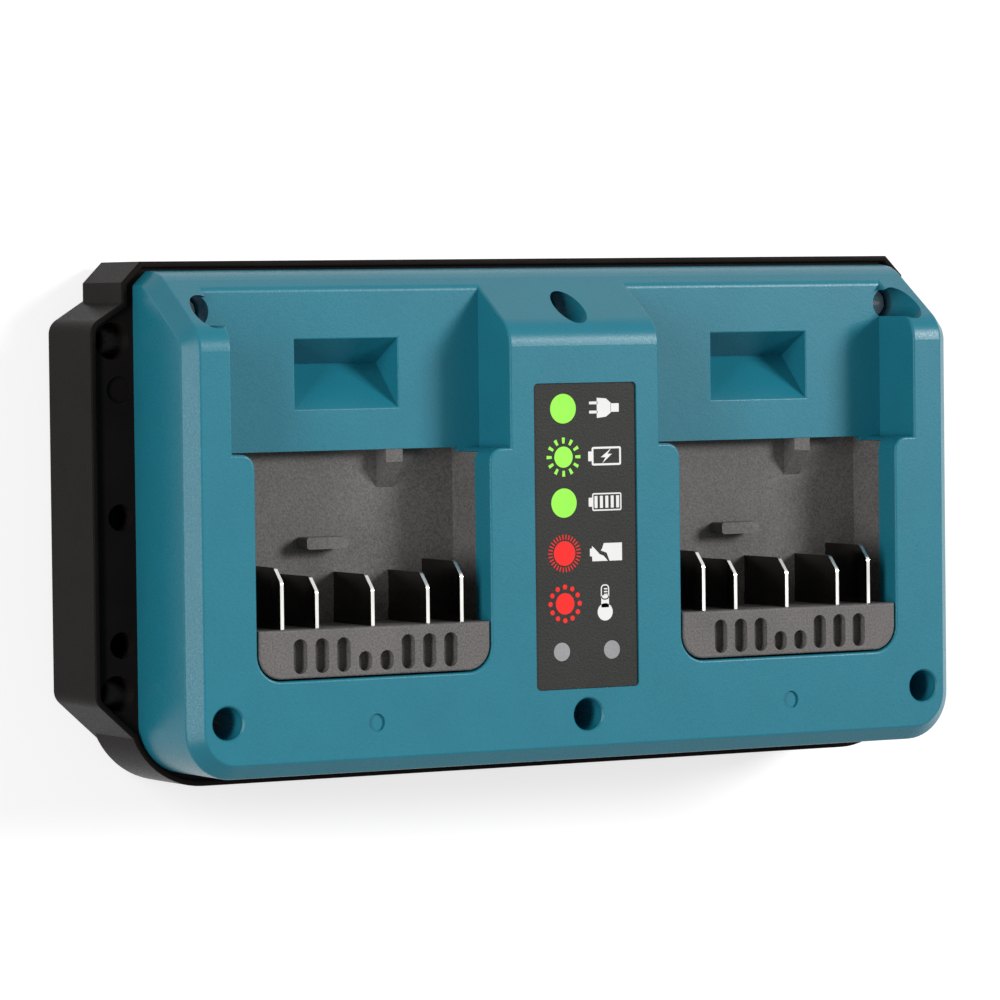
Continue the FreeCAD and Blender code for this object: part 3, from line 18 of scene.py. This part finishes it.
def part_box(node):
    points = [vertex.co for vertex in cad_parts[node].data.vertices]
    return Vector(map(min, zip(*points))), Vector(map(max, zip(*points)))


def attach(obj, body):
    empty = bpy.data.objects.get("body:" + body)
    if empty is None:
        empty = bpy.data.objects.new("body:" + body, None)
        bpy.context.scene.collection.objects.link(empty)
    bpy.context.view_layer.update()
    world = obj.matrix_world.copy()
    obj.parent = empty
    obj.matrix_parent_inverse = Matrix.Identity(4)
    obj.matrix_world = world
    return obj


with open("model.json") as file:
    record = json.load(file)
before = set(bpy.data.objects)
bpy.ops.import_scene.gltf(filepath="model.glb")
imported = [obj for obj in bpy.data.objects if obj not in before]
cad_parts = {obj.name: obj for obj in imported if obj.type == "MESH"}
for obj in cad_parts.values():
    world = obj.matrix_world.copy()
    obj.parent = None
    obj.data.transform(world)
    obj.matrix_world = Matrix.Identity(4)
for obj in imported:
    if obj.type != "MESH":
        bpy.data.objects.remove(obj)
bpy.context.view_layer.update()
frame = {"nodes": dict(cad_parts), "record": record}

MM = 0.001
nodes = frame["nodes"]

# %% [markdown]
# ## The camera
#
# The place and turn of the camera were worked out from the straight edges and round holes in the
# photograph. The lens is long, so the sides hardly draw together. A camera looks along its own
# minus Z, so its matrix has the directions right, up and back as columns.

# %% Place the camera
CAMERA_PLACE = (-0.6757, 0.05465, 1.1969)
CAMERA_RIGHT = (0.8688, -0.0114, 0.4951)
CAMERA_UP = (0.0287, 0.9992, -0.0273)
CAMERA_BACK = (-0.4944, 0.0380, 0.8684)
LENS_MM = 194.4
SENSOR_MM = 36.0

camera_data = bpy.data.cameras.new("camera")
camera_data.lens = LENS_MM
camera_data.sensor_width = SENSOR_MM
camera = bpy.data.objects.new("camera", camera_data)
bpy.context.scene.collection.objects.link(camera)
turn = Matrix((CAMERA_RIGHT, CAMERA_UP, CAMERA_BACK)).transposed().to_4x4()
camera.matrix_world = Matrix.Translation(CAMERA_PLACE) @ turn
bpy.context.scene.camera = camera
print("camera at", CAMERA_PLACE, "with a lens of", LENS_MM, "mm")

# %% [markdown]
# ## The studio
#
# Two lamps light the charger. The key lamp stands high on the right, because the right ends of
# the bays lie in shadow in the photograph. A long low lamp on the left lights the left wall and
# shines back from the left bevel. One bright sky would be simpler, but it would fill those
# shadows. The lamps stay at a plain level and the view transform is Standard, so a colour
# renders about as it is written.

# %% Place the lamps
LAMP_TARGET = (0, 0, 0.03)
LAMPS = (
    ("key_lamp", (1.86, 0.84, 2.20), (0.9, 0.9), 73.0),
    ("side_lamp", (-1.15, 0.12, 0.66), (1.3, 0.28), 11.5),
)


def aim(place, target):
    """The turn that points minus Z from a place to a target."""
    return (Vector(target) - Vector(place)).to_track_quat("-Z", "Y")


for name, place, (width, height), power in LAMPS:
    lamp_data = bpy.data.lights.new(name, "AREA")
    lamp_data.shape = "RECTANGLE"
    lamp_data.size = width
    lamp_data.size_y = height
    lamp_data.energy = power
    lamp = bpy.data.objects.new(name, lamp_data)
    lamp.location = place
    lamp.rotation_euler = aim(place, LAMP_TARGET).to_euler()
    bpy.context.scene.collection.objects.link(lamp)
bpy.context.scene.view_settings.view_transform = "Standard"
print(len(LAMPS), "lamps")

# %% [markdown]
# ## The white background
#
# The photograph has a plain white background. The sky and the floor give it without adding light:
# the Light Path node tells which rays come from the camera, a mirror or glass, and for those rays
# alone both are lifted to white. All other rays find a dim sky and a grey floor.

# %% Hang the sky
SKY_STRENGTH = 0.15
WHITE = (1, 1, 1, 1)


def seen_ray(tree):
    """1 for rays from the camera, from a mirror or through glass, and 0 for those that light things."""
    path = tree.nodes.new("ShaderNodeLightPath")
    kinds = [path.outputs["Is " + kind + " Ray"] for kind in ("Camera", "Glossy", "Transmission")]
    largest = kinds[0]
    for kind in kinds[1:]:
        either = tree.nodes.new("ShaderNodeMath")
        either.operation = "MAXIMUM"
        tree.links.new(largest, either.inputs[0])
        tree.links.new(kind, either.inputs[1])
        largest = either.outputs[0]
    return largest


world = bpy.data.worlds.new("studio")
bpy.context.scene.world = world
world.use_nodes = True
sky = world.node_tree
sky.nodes.clear()
dim_sky = sky.nodes.new("ShaderNodeBackground")
dim_sky.inputs["Color"].default_value = WHITE
dim_sky.inputs["Strength"].default_value = SKY_STRENGTH
white_sky = sky.nodes.new("ShaderNodeBackground")
white_sky.inputs["Color"].default_value = WHITE
white_sky.inputs["Strength"].default_value = 1.0
sky_mix = sky.nodes.new("ShaderNodeMixShader")
sky_out = sky.nodes.new("ShaderNodeOutputWorld")
sky.links.new(seen_ray(sky), sky_mix.inputs[0])
sky.links.new(dim_sky.outputs[0], sky_mix.inputs[1])
sky.links.new(white_sky.outputs[0], sky_mix.inputs[2])
sky.links.new(sky_mix.outputs[0], sky_out.inputs["Surface"])
print("a sky of", SKY_STRENGTH)

# %% Lay the floor
FLOOR_HALF = 6.0
FLOOR_GAP = 0.1 * MM

floor_mesh = bpy.data.meshes.new("floor")
floor_corners = FLOOR_HALF * np.array([(-1, -1, 0), (1, -1, 0), (1, 1, 0), (-1, 1, 0)])
floor_corners += np.array([0, 0, -FLOOR_GAP])
floor_mesh.from_pydata(floor_corners.tolist(), [], [(0, 1, 2, 3)])
floor = bpy.data.objects.new("floor", floor_mesh)
bpy.context.scene.collection.objects.link(floor)
print("floor", 2 * FLOOR_HALF, "m wide")

# %% [markdown]
# ## The floor's material
#
# Seen rays get grey paper with a glow added, which comes to white where the lamps reach it and
# keeps the shadow where they don't. The floor is clear from below, where its back faces the
# camera, so that the underside of the charger can be looked at too.

# %% Mix the floor's material
PAPER_SEEN = (0.50, 0.50, 0.50, 1)
PAPER_UNSEEN = (0.30, 0.30, 0.30, 1)
PAPER_GLOW = 0.68

floor_material = bpy.data.materials.new("floor")
floor_material.use_nodes = True
floor_tree = floor_material.node_tree
floor_tree.nodes.clear()
paper = floor_tree.nodes.new("ShaderNodeBsdfDiffuse")
paper.inputs["Color"].default_value = PAPER_SEEN
dull_paper = floor_tree.nodes.new("ShaderNodeBsdfDiffuse")
dull_paper.inputs["Color"].default_value = PAPER_UNSEEN
glow = floor_tree.nodes.new("ShaderNodeEmission")
glow.inputs["Strength"].default_value = PAPER_GLOW
glowing = floor_tree.nodes.new("ShaderNodeAddShader")
floor_mix = floor_tree.nodes.new("ShaderNodeMixShader")
floor_out = floor_tree.nodes.new("ShaderNodeOutputMaterial")
floor_tree.links.new(paper.outputs[0], glowing.inputs[0])
floor_tree.links.new(glow.outputs[0], glowing.inputs[1])
floor_tree.links.new(seen_ray(floor_tree), floor_mix.inputs[0])
floor_tree.links.new(dull_paper.outputs[0], floor_mix.inputs[1])
floor_tree.links.new(glowing.outputs[0], floor_mix.inputs[2])
below = floor_tree.nodes.new("ShaderNodeNewGeometry")
see_through = floor_tree.nodes.new("ShaderNodeBsdfTransparent")
one_sided = floor_tree.nodes.new("ShaderNodeMixShader")
floor_tree.links.new(below.outputs["Backfacing"], one_sided.inputs[0])
floor_tree.links.new(floor_mix.outputs[0], one_sided.inputs[1])
floor_tree.links.new(see_through.outputs[0], one_sided.inputs[2])
floor_tree.links.new(one_sided.outputs[0], floor_out.inputs["Surface"])
floor_mesh.materials.append(floor_material)
print("floor paper", PAPER_SEEN[0], "with a glow of", PAPER_GLOW)

# %% [markdown]
# ## Finishes
#
# Moulded plastic is never one flat colour. The mould is spark-eroded, which leaves a grain of a
# few tenths of a millimetre, and the plastic flows, which leaves faint lighter and darker clouds.
# Both are noise textures on Object coordinates, which here are metres in the model's own frame,
# so the grain has its real size on every piece.

# %% Start a material and place its noise
NOISE_LOW, NOISE_HIGH = 0.3, 0.7


def start_material(name):
    """A new material with a Principled shader, and its node tree."""
    material = bpy.data.materials.new(name)
    material.use_nodes = True
    tree = material.node_tree
    return material, tree, tree.nodes["Principled BSDF"]


def place_of(tree, stretch=(1, 1, 1)):
    """Object coordinates, squeezed along each axis by stretch."""
    coordinates = tree.nodes.new("ShaderNodeTexCoord")
    mapping = tree.nodes.new("ShaderNodeMapping")
    mapping.inputs["Scale"].default_value = stretch
    tree.links.new(coordinates.outputs["Object"], mapping.inputs["Vector"])
    return mapping.outputs["Vector"]


def noise(tree, grain, detail=2.0, stretch=(1, 1, 1)):
    """Noise between 0 and 1 whose lumps are about grain metres wide."""
    texture = tree.nodes.new("ShaderNodeTexNoise")
    texture.inputs["Scale"].default_value = 1 / grain
    texture.inputs["Detail"].default_value = detail
    tree.links.new(place_of(tree, stretch), texture.inputs["Vector"])
    return texture.outputs["Fac"]


def spread(tree, fac, low, high):
    """A factor of NOISE_LOW to NOISE_HIGH, where noise mostly lies, spread from low to high."""
    ranging = tree.nodes.new("ShaderNodeMapRange")
    ranging.inputs["From Min"].default_value = NOISE_LOW
    ranging.inputs["From Max"].default_value = NOISE_HIGH
    ranging.inputs["To Min"].default_value = low
    ranging.inputs["To Max"].default_value = high
    tree.links.new(fac, ranging.inputs["Value"])
    return ranging.outputs["Result"]


print("noise spread from", NOISE_LOW, "to", NOISE_HIGH)

# %% Mix colours and raise the surface


def blend_colours(tree, fac, first, second):
    """Two colours mixed by a factor."""
    mix = tree.nodes.new("ShaderNodeMix")
    mix.data_type = "RGBA"
    mix.inputs["A"].default_value = (*first, 1)
    mix.inputs["B"].default_value = (*second, 1)
    tree.links.new(fac, mix.inputs["Factor"])
    return mix.outputs["Result"]


def blend_numbers(tree, first, second, share):
    """Two numbers mixed, with a fixed share of the second."""
    mix = tree.nodes.new("ShaderNodeMix")
    mix.inputs["Factor"].default_value = share
    tree.links.new(first, mix.inputs["A"])
    tree.links.new(second, mix.inputs["B"])
    return mix.outputs["Result"]


def bump(tree, shader, height, depth):
    """Raise the surface by up to depth metres where height is 1."""
    relief = tree.nodes.new("ShaderNodeBump")
    relief.inputs["Distance"].default_value = depth
    tree.links.new(height, relief.inputs["Height"])
    tree.links.new(relief.outputs["Normal"], shader.inputs["Normal"])


def shade(colour, amount):
    """A colour made lighter or darker by a factor."""
    return tuple(min(channel * amount, 1) for channel in colour)


print("white at half:", shade((1, 1, 1), 0.5))

# %% Moulded plastic
CLOUD = 12 * MM
ROUGHNESS_SWING = 0.07


def moulded(name, colour, roughness, grain, depth, clouds=0.05, gloss=0.5, speckle=0.0):
    """Moulded plastic: cloudy colour with fine specks, and a grain in roughness and height."""
    material, tree, shader = start_material(name)
    pits = noise(tree, grain, detail=3.0)
    cloud = spread(tree, noise(tree, CLOUD, detail=3.0), 0, 1)
    if speckle:
        cloud = blend_numbers(tree, cloud, spread(tree, pits, 0, 1), speckle)
    pair = (shade(colour, 1 - clouds), shade(colour, 1 + clouds))
    tree.links.new(blend_colours(tree, cloud, *pair), shader.inputs["Base Color"])
    rough = spread(tree, pits, roughness - ROUGHNESS_SWING, roughness + ROUGHNESS_SWING)
    tree.links.new(rough, shader.inputs["Roughness"])
    shader.inputs["Specular IOR Level"].default_value = gloss
    bump(tree, shader, pits, depth)
    return material


print("clouds", CLOUD / MM, "mm wide")

# %% [markdown]
# ## Metal
#
# Rolling and drawing leave lines along a metal part, so its noise is squeezed along one axis.
# The blades are cut from sheet. Their sheared edges are white, and their flat sides, which face
# along X, are nearly black because they reflect the dark bay. That dark reflection is painted
# into the colour of the flats, so the colour there follows the surface's normal.

# %% Metal, and sheet with a painted dark reflection on its flats
SMOOTHER, ROUGHER = 0.06, 0.08
# the colour of the painted dark reflection on the blades' flats
PAINTED_DARK_FLATS = (0.10, 0.095, 0.09)


def metal(name, colour, roughness, grain, stretch, tint=0.12, depth=0.01 * MM):
    """Metal with fine lines from rolling or drawing: noise squeezed along one axis."""
    material, tree, shader = start_material(name)
    shader.inputs["Metallic"].default_value = 1.0
    lines = noise(tree, grain, detail=4.0, stretch=stretch)
    pair = (shade(colour, 1 - tint), shade(colour, 1 + tint))
    tinted = blend_colours(tree, spread(tree, lines, 0, 1), *pair)
    tree.links.new(tinted, shader.inputs["Base Color"])
    rough = spread(tree, lines, roughness - SMOOTHER, roughness + ROUGHER)
    tree.links.new(rough, shader.inputs["Roughness"])
    bump(tree, shader, lines, depth)
    return material


def paint_dark_flats(material):
    """Sheet with a painted dark reflection on the X-facing flats and bright sheared edges.

    The share of painted dark colour is the size of the normal's X part: 1 on the flats, 0 on the edges.
    """
    tree = material.node_tree
    shader = tree.nodes["Principled BSDF"]
    metal_colour = shader.inputs["Base Color"].links[0].from_socket
    geometry = tree.nodes.new("ShaderNodeNewGeometry")
    parts = tree.nodes.new("ShaderNodeSeparateXYZ")
    across = tree.nodes.new("ShaderNodeMath")
    across.operation = "ABSOLUTE"
    mix = tree.nodes.new("ShaderNodeMix")
    mix.data_type = "RGBA"
    mix.inputs["B"].default_value = (*PAINTED_DARK_FLATS, 1)
    tree.links.new(geometry.outputs["True Normal"], parts.inputs["Vector"])
    tree.links.new(parts.outputs["X"], across.inputs[0])
    tree.links.new(across.outputs[0], mix.inputs["Factor"])
    tree.links.new(metal_colour, mix.inputs["A"])
    tree.links.new(mix.outputs["Result"], shader.inputs["Base Color"])
    return material


# shows the colour of the painted dark reflection on the blades' flats
print("dull sheet", PAINTED_DARK_FLATS)

# %% [markdown]
# ## The outer finishes
#
# The hood is satin teal with a fine grain, the tray black with a slightly coarser one. The
# terminal housings and the panel are charcoal with a strong grain that speckles in the
# photograph, so the same noise that pits them also tints them. The blades are nickel-plated,
# with faint lines along their length.
#
# After the colour, a moulded finish gives its roughness, the width and depth of the grain, how
# far the clouds go, the gloss and the share of specks. A metal gives its roughness, the width of
# the grain, how the grain is squeezed along X, Y and Z, its tint and its depth.

# %% Mix the outer finishes
TEAL = (0.014, 0.182, 0.252)
BLACK = (0.0115, 0.0090, 0.0084)
CHARCOAL = (0.135, 0.127, 0.123)
PANEL = (0.025, 0.025, 0.023)
NICKEL = (0.74, 0.73, 0.70)
WINDOW_GREY = (0.28, 0.275, 0.285)
RUBBER = (0.02, 0.02, 0.02)
INLET_BLACK = (0.014, 0.014, 0.014)
STEEL = (0.50, 0.50, 0.52)
blade_sheet = metal("blade_nickel", NICKEL, 0.20, 2 * MM, (1, 0.1, 1), 0.04, 0.001 * MM)

finishes = {
    "shell_teal": moulded("shell_teal", TEAL, 0.31, 0.40 * MM, 0.03 * MM, 0.03, 0.26),
    "base_black": moulded("base_black", BLACK, 0.30, 0.45 * MM, 0.02 * MM, 0.12, 0.02),
    "housing_grey": moulded("housing_grey", CHARCOAL, 0.55, 0.5 * MM, 0.08 * MM, 0.42, 0.2, 0.8),
    "panel_dark": moulded("panel_dark", PANEL, 0.50, 0.5 * MM, 0.08 * MM, 0.50, 0.15, 0.8),
    "clear_plastic": moulded("clear_plastic", WINDOW_GREY, 0.35, 0.6 * MM, 0.03 * MM, 0.12),
    "foot_rubber": moulded("foot_rubber", RUBBER, 0.75, 0.6 * MM, 0.04 * MM, 0.2, 0.3),
    "inlet_black": moulded("inlet_black", INLET_BLACK, 0.45, 0.4 * MM, 0.02 * MM, 0.15),
    # the blades' flats get a painted dark reflection
    "blade_nickel": paint_dark_flats(blade_sheet),
    "pin_nickel": metal("pin_nickel", NICKEL, 0.20, 0.2 * MM, (1, 0.05, 1)),
    "screw_steel": metal("screw_steel", STEEL, 0.32, 0.2 * MM, (1, 1, 0.2)),
}
print(sorted(finishes))

# %% [markdown]
# ## The finishes inside
#
# The hood and the tray close over the board, and little of it shows, but an opened charger
# should look right too: lacquered board, speckled ferrite, copper wire, sleeved cans, glass fuse.
# Wound wire is drawn as bands in the material: painted shade in the gaps between turns and a
# painted highlight on their crowns, which is enough for windings that nobody sees. A wave texture
# has a little over 3 bands in a metre when its scale is 1.

# %% Wound wire
BANDS_PER_METRE = 3.14
WIRE_WAVER = 0.3
WIRE_METALLIC = 0.8
# shares of the wire's colour for the painted shade in the gaps and the painted highlight on the crowns
WIRE_GAP_SHADE, WIRE_CROWN_HIGHLIGHT = 0.45, 1.1


def wound(name, colour, roughness, pitch, depth):
    """Wire wound side by side: about one band to each wire's pitch up the Z axis."""
    material, tree, shader = start_material(name)
    wave = tree.nodes.new("ShaderNodeTexWave")
    wave.bands_direction = "Z"
    wave.inputs["Scale"].default_value = 1 / (pitch * BANDS_PER_METRE)
    wave.inputs["Distortion"].default_value = WIRE_WAVER
    tree.links.new(place_of(tree), wave.inputs["Vector"])
    fac = wave.outputs["Fac"]
    # the bands paint shade between the turns and a highlight on their crowns
    bands = blend_colours(tree, fac, shade(colour, WIRE_GAP_SHADE), shade(colour, WIRE_CROWN_HIGHLIGHT))
    tree.links.new(bands, shader.inputs["Base Color"])
    shader.inputs["Roughness"].default_value = roughness
    shader.inputs["Metallic"].default_value = WIRE_METALLIC
    bump(tree, shader, fac, depth)
    return material


COPPER = (0.45, 0.16, 0.05)
finishes["copper_wire"] = wound("copper_wire", COPPER, 0.3, 0.5 * MM, 0.1 * MM)
print("copper wire", COPPER)

# %% Mix the other inner finishes
BOARD_GREEN = (0.012, 0.11, 0.045)
LED_WHITE = (0.75, 0.75, 0.72)
FERRITE = (0.05, 0.05, 0.055)
ALUMINIUM = (0.78, 0.79, 0.80)
PACKAGE_BLACK = (0.02, 0.02, 0.021)
SLEEVE_BLUE = (0.02, 0.04, 0.12)
CAPACITOR_YELLOW = (0.62, 0.42, 0.04)
BRASS = (0.72, 0.55, 0.25)

finishes.update(
    {
        "board_green": moulded("board_green", BOARD_GREEN, 0.25, 0.8 * MM, 0.01 * MM, 0.25),
        "led_body": moulded("led_body", LED_WHITE, 0.25, 0.8 * MM, 0.01 * MM),
        "ferrite": moulded("ferrite", FERRITE, 0.6, 0.25 * MM, 0.04 * MM, 0.3),
        "sink_aluminium": metal("sink_aluminium", ALUMINIUM, 0.35, 0.15 * MM, (1, 1, 0.04)),
        "package_black": moulded("package_black", PACKAGE_BLACK, 0.55, 0.3 * MM, 0.03 * MM, 0.2),
        "can_aluminium": moulded("can_aluminium", SLEEVE_BLUE, 0.3, 1.0 * MM, 0.01 * MM, 0.1),
        "capacitor_yellow": moulded("capacitor_yellow", CAPACITOR_YELLOW, 0.35, 0.8 * MM, 0.01 * MM),
        "clip_brass": metal("clip_brass", BRASS, 0.25, 0.15 * MM, (1, 1, 0.05)),
    }
)
print(len(finishes), "finishes")

# %% The fuse's glass
GLASS = (0.9, 0.93, 0.92, 1)
GLASS_CLEAR = 0.9
GLASS_SMOOTH, GLASS_ROUGH = 0.03, 0.12

glass, glass_tree, glass_shader = start_material("fuse_glass")
glass_shader.inputs["Base Color"].default_value = GLASS
glass_shader.inputs["Transmission Weight"].default_value = GLASS_CLEAR
tube_marks = spread(glass_tree, noise(glass_tree, 1.5 * MM), GLASS_SMOOTH, GLASS_ROUGH)
glass_tree.links.new(tube_marks, glass_shader.inputs["Roughness"])
finishes["fuse_glass"] = glass
print(len(finishes), "finishes")

# %% Give every node its finish
for part in frame["record"]["subparts"]:
    slots = nodes[part["node"]].data.materials
    slots.clear()
    slots.append(finishes[part["material_slot"]])

# %% [markdown]
# ## Printing on the panel
#
# Two columns of ink: green and red marks on the left, and white pictograms on the right. Each
# mark starts as an outline: an array of points, from a plain formula or written out.

# %% Outlines
CORNER_POINTS = 8


def ring(x, y, radius, count=48):
    """A circle: the point at angle t is x + radius cos t, y + radius sin t."""
    t = np.linspace(0, 2 * np.pi, count, endpoint=False)
    return np.column_stack([x + radius * np.cos(t), y + radius * np.sin(t)])


def soft_box(x, y, width, height, radius):
    """A rectangle with round corners: four quarter circles, each about its own corner's centre."""
    t = np.linspace(0, np.pi / 2, CORNER_POINTS)
    turns = np.concatenate([t + quarter * np.pi / 2 for quarter in range(4)])
    sides = np.repeat([(1, 1), (-1, 1), (-1, -1), (1, -1)], CORNER_POINTS, axis=0)
    centres = sides * (np.array([width, height]) / 2 - radius)
    return np.array([x, y]) + centres + radius * np.column_stack([np.cos(turns), np.sin(turns)])


def turned(outline, angle, x, y):
    """An outline turned about the origin, then moved to x, y."""
    cos, sin = math.cos(angle), math.sin(angle)
    return outline @ np.array([(cos, sin), (-sin, cos)]) + np.array([x, y])


print("a soft box has", len(soft_box(0, 0, 2, 1, 0.1)), "points")

# %% [markdown]
# ## From outlines to ink
#
# Ink is a few hundredths of a millimetre thick, so each mark is a slab: a closed outline carried
# straight up, with both ends filled. A frame has a second outline for its hole. The points of one
# outline follow those of the other, so a point's partner is one count further on.

# %% Slabs and frames


def slab(outline, low, high):
    """A filled shape: the outline at the low and the high level, two caps and a wall between."""
    count = len(outline)
    levels = [np.column_stack([outline, np.full(count, level)]) for level in (low, high)]
    here = np.arange(count)
    ahead = np.roll(here, -1)
    walls = np.column_stack([here, ahead, ahead + count, here + count]).tolist()
    return np.vstack(levels), [here[::-1].tolist(), (here + count).tolist(), *walls]


def frame_band(outer, inner, low, high):
    """A shape with a hole: outer and inner outlines of the same count, joined by four bands."""
    count = len(outer)
    loops = [(outer, low), (outer, high), (inner, high), (inner, low)]
    points = np.vstack([np.column_stack([loop, np.full(count, level)]) for loop, level in loops])
    here = np.arange(count)
    ahead = np.roll(here, -1)
    faces = []
    for first, second in ((0, 1), (1, 2), (2, 3), (3, 0)):
        a, b = first * count, second * count
        faces += np.column_stack([here + a, ahead + a, ahead + b, here + b]).tolist()
    return points, faces


def one_mesh(name, shapes):
    """Join shapes into one object at the origin."""
    points, faces, start = [], [], 0
    for shape_points, shape_faces in shapes:
        points.append(shape_points)
        faces += [[index + start for index in face] for face in shape_faces]
        start += len(shape_points)
    mesh = bpy.data.meshes.new(name)
    mesh.from_pydata(np.vstack(points).tolist(), [], faces)
    mesh.validate()
    piece = bpy.data.objects.new(name, mesh)
    bpy.context.scene.collection.objects.link(piece)
    print(name, len(mesh.polygons), "faces")
    return piece


print("a slab on three points has", len(slab(ring(0, 0, 1, 3), 0, 1)[1]), "faces")

# %% [markdown]
# ## The left column
#
# The panel has five rows, one for each state that a pictogram shows. The marks of the left column
# are dots, three of them with strokes or smaller dots round them.

# %% Lay out the rows
INK = 0.05 * MM
INK_SINK = 0.01 * MM
PLUG, CHARGING, FULL, BROKEN, HOT = range(5)

panel_low, panel_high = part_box("label_panel")
panel_x = (panel_low.x + panel_high.x) / 2
ink_levels = (panel_high.z - INK_SINK, panel_high.z + INK)
MARK_X = panel_x - 6.15 * MM
ICON_X = panel_x + 5.6 * MM
ROWS = [panel_low.y + height * MM for height in (69.0, 57.1, 45.8, 33.4, 21.0)]
print(len(ROWS), "rows")

# %% Draw the left column


def dot(y, radius):
    """A round mark in the left column."""
    return slab(ring(MARK_X, y, radius * MM), *ink_levels)


def rays(y, count, start, end, width, flare=1.0):
    """Strokes round a mark, from start to end, that grow flare times as wide towards the end."""
    shapes = []
    for angle in np.arange(count) * 2 * np.pi / count:
        inner, outer = width / 2, width / 2 * flare
        stroke = MM * np.array([(start, -inner), (end, -outer), (end, outer), (start, inner)])
        shapes.append(slab(turned(stroke, angle, MARK_X, y), *ink_levels))
    return shapes


def beads(y, count, distance, radius):
    """Small dots round a mark, each with its middle at a distance from the mark's."""
    shapes = []
    for angle in np.arange(count) * 2 * np.pi / count:
        across, along = distance * MM * math.cos(angle), distance * MM * math.sin(angle)
        bead = ring(MARK_X + across, y + along, radius * MM, 20)
        shapes.append(slab(bead, *ink_levels))
    return shapes


green_marks = [dot(ROWS[PLUG], 3.65), dot(ROWS[CHARGING], 2.6), dot(ROWS[FULL], 3.6)]
green_marks += rays(ROWS[CHARGING], 12, 3.35, 4.8, 0.65, 1.3)
red_marks = [dot(ROWS[BROKEN], 3.05), dot(ROWS[HOT], 2.65)]
red_marks += rays(ROWS[BROKEN], 30, 3.45, 4.65, 0.28)
red_marks += beads(ROWS[HOT], 12, 4.15, 0.62)
print(len(green_marks), "green shapes and", len(red_marks), "red ones")

# %% [markdown]
# ## The pictograms
#
# The right column shows a plug, a battery that fills, a full battery, a broken one and a
# thermometer. Their sizes are in millimetres about the middle of the row.

# %% Shapes for pictograms
SMALLEST_CORNER = 0.05


def icon(row, points):
    """A filled shape, from points about the row's middle."""
    return slab(np.array([ICON_X, ROWS[row]]) + MM * np.array(points), *ink_levels)


def icon_box(row, x, y, width, height, radius=0.15):
    """A filled box with round corners."""
    middle = (ICON_X + x * MM, ROWS[row] + y * MM)
    return slab(soft_box(*middle, width * MM, height * MM, radius * MM), *ink_levels)


def icon_frame(row, x, y, width, height, line, radius=0.5):
    """The outline of a box, one line thick."""
    middle = (ICON_X + x * MM, ROWS[row] + y * MM)
    outer = soft_box(*middle, width * MM, height * MM, radius * MM)
    hole = ((width - 2 * line) * MM, (height - 2 * line) * MM)
    inner = soft_box(*middle, *hole, max(radius - line, SMALLEST_CORNER) * MM)
    return frame_band(outer, inner, *ink_levels)


print("pictograms stand", (ICON_X - MARK_X) / MM, "mm to the right of the marks")

# %% Draw the pictograms
plug = [
    icon(PLUG, [(-2.1, -2.5), (0.5, -2.2), (1.9, -1.2), (1.9, 1.2), (0.5, 2.3), (-2.1, 2.5)]),
    icon_box(PLUG, 3.0, 0, 2.4, 2.1),
    icon_box(PLUG, -3.1, 1.25, 2.4, 0.7),
    icon_box(PLUG, -3.1, -1.0, 2.4, 0.7),
]
charging = [
    icon_frame(CHARGING, 0.5, 0, 8.4, 4.6, 0.5),
    icon_box(CHARGING, -4.2, 0, 1.0, 2.4),
    icon(CHARGING, [(-0.7, -1.8), (2.1, 0.5), (0.8, 0.5), (1.9, 1.9), (-1.1, -0.3), (0.3, -0.3)]),
]
full = [icon_frame(FULL, 0.5, 0, 8.4, 4.4, 0.35), icon_box(FULL, -4.2, 0, 1.0, 2.2)]
full += [icon_box(FULL, x, 0, 0.85, 3.0, 0.1) for x in (-2.6, -1.05, 0.5, 2.05, 3.6)]
broken = [
    icon(
        BROKEN,
        [(-4.5, -0.9), (-3.9, -1.0), (-3.8, -2.2), (0.6, -2.2), (-0.6, -0.9)]
        + [(-1.7, -0.5), (-3.2, 1.0), (-3.9, 1.6), (-3.9, 1.0), (-4.5, 0.9)],
    ),
    icon(
        BROKEN,
        [(1.1, -2.2), (4.7, -2.2), (4.7, 2.2), (-0.5, 2.2)] + [(-1.0, 0.9), (-1.4, 0.4), (0.3, -0.2)],
    ),
]
bulb = ring(ICON_X - 0.3 * MM, ROWS[HOT] - 2.4 * MM, 2.15 * MM)
hot = [slab(bulb, *ink_levels), icon_box(HOT, -0.3, 0.2, 2.2, 3.0)]
hot += [icon_frame(HOT, -0.3, 2.5, 2.4, 3.8, 0.3, 1.0)]
hot += [icon_box(HOT, -0.1, y, 1.0, 0.32, 0.1) for y in (1.9, 2.6, 3.3)]
white_marks = plug + charging + full + broken + hot
print(len(white_marks), "white shapes")

# %% [markdown]
# ## Three colours of ink
#
# All marks of one colour become one piece. It rides on the body that the panel belongs to, and
# it gets a moulded ink material of its own.

# %% Print the marks
GREEN_INK = (0.36, 0.98, 0.10)
RED_INK = (0.95, 0.028, 0.024)
WHITE_INK = (0.88, 0.88, 0.87)
PRINTS = (
    ("print_green", green_marks, GREEN_INK),
    ("print_red", red_marks, RED_INK),
    ("print_white", white_marks, WHITE_INK),
)
for name, shapes, colour in PRINTS:
    piece = one_mesh(name, shapes)
    piece.data.materials.append(moulded(name, colour, 0.55, 0.4 * MM, 0.02 * MM, 0.04, 0.15))
    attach(piece, "root")
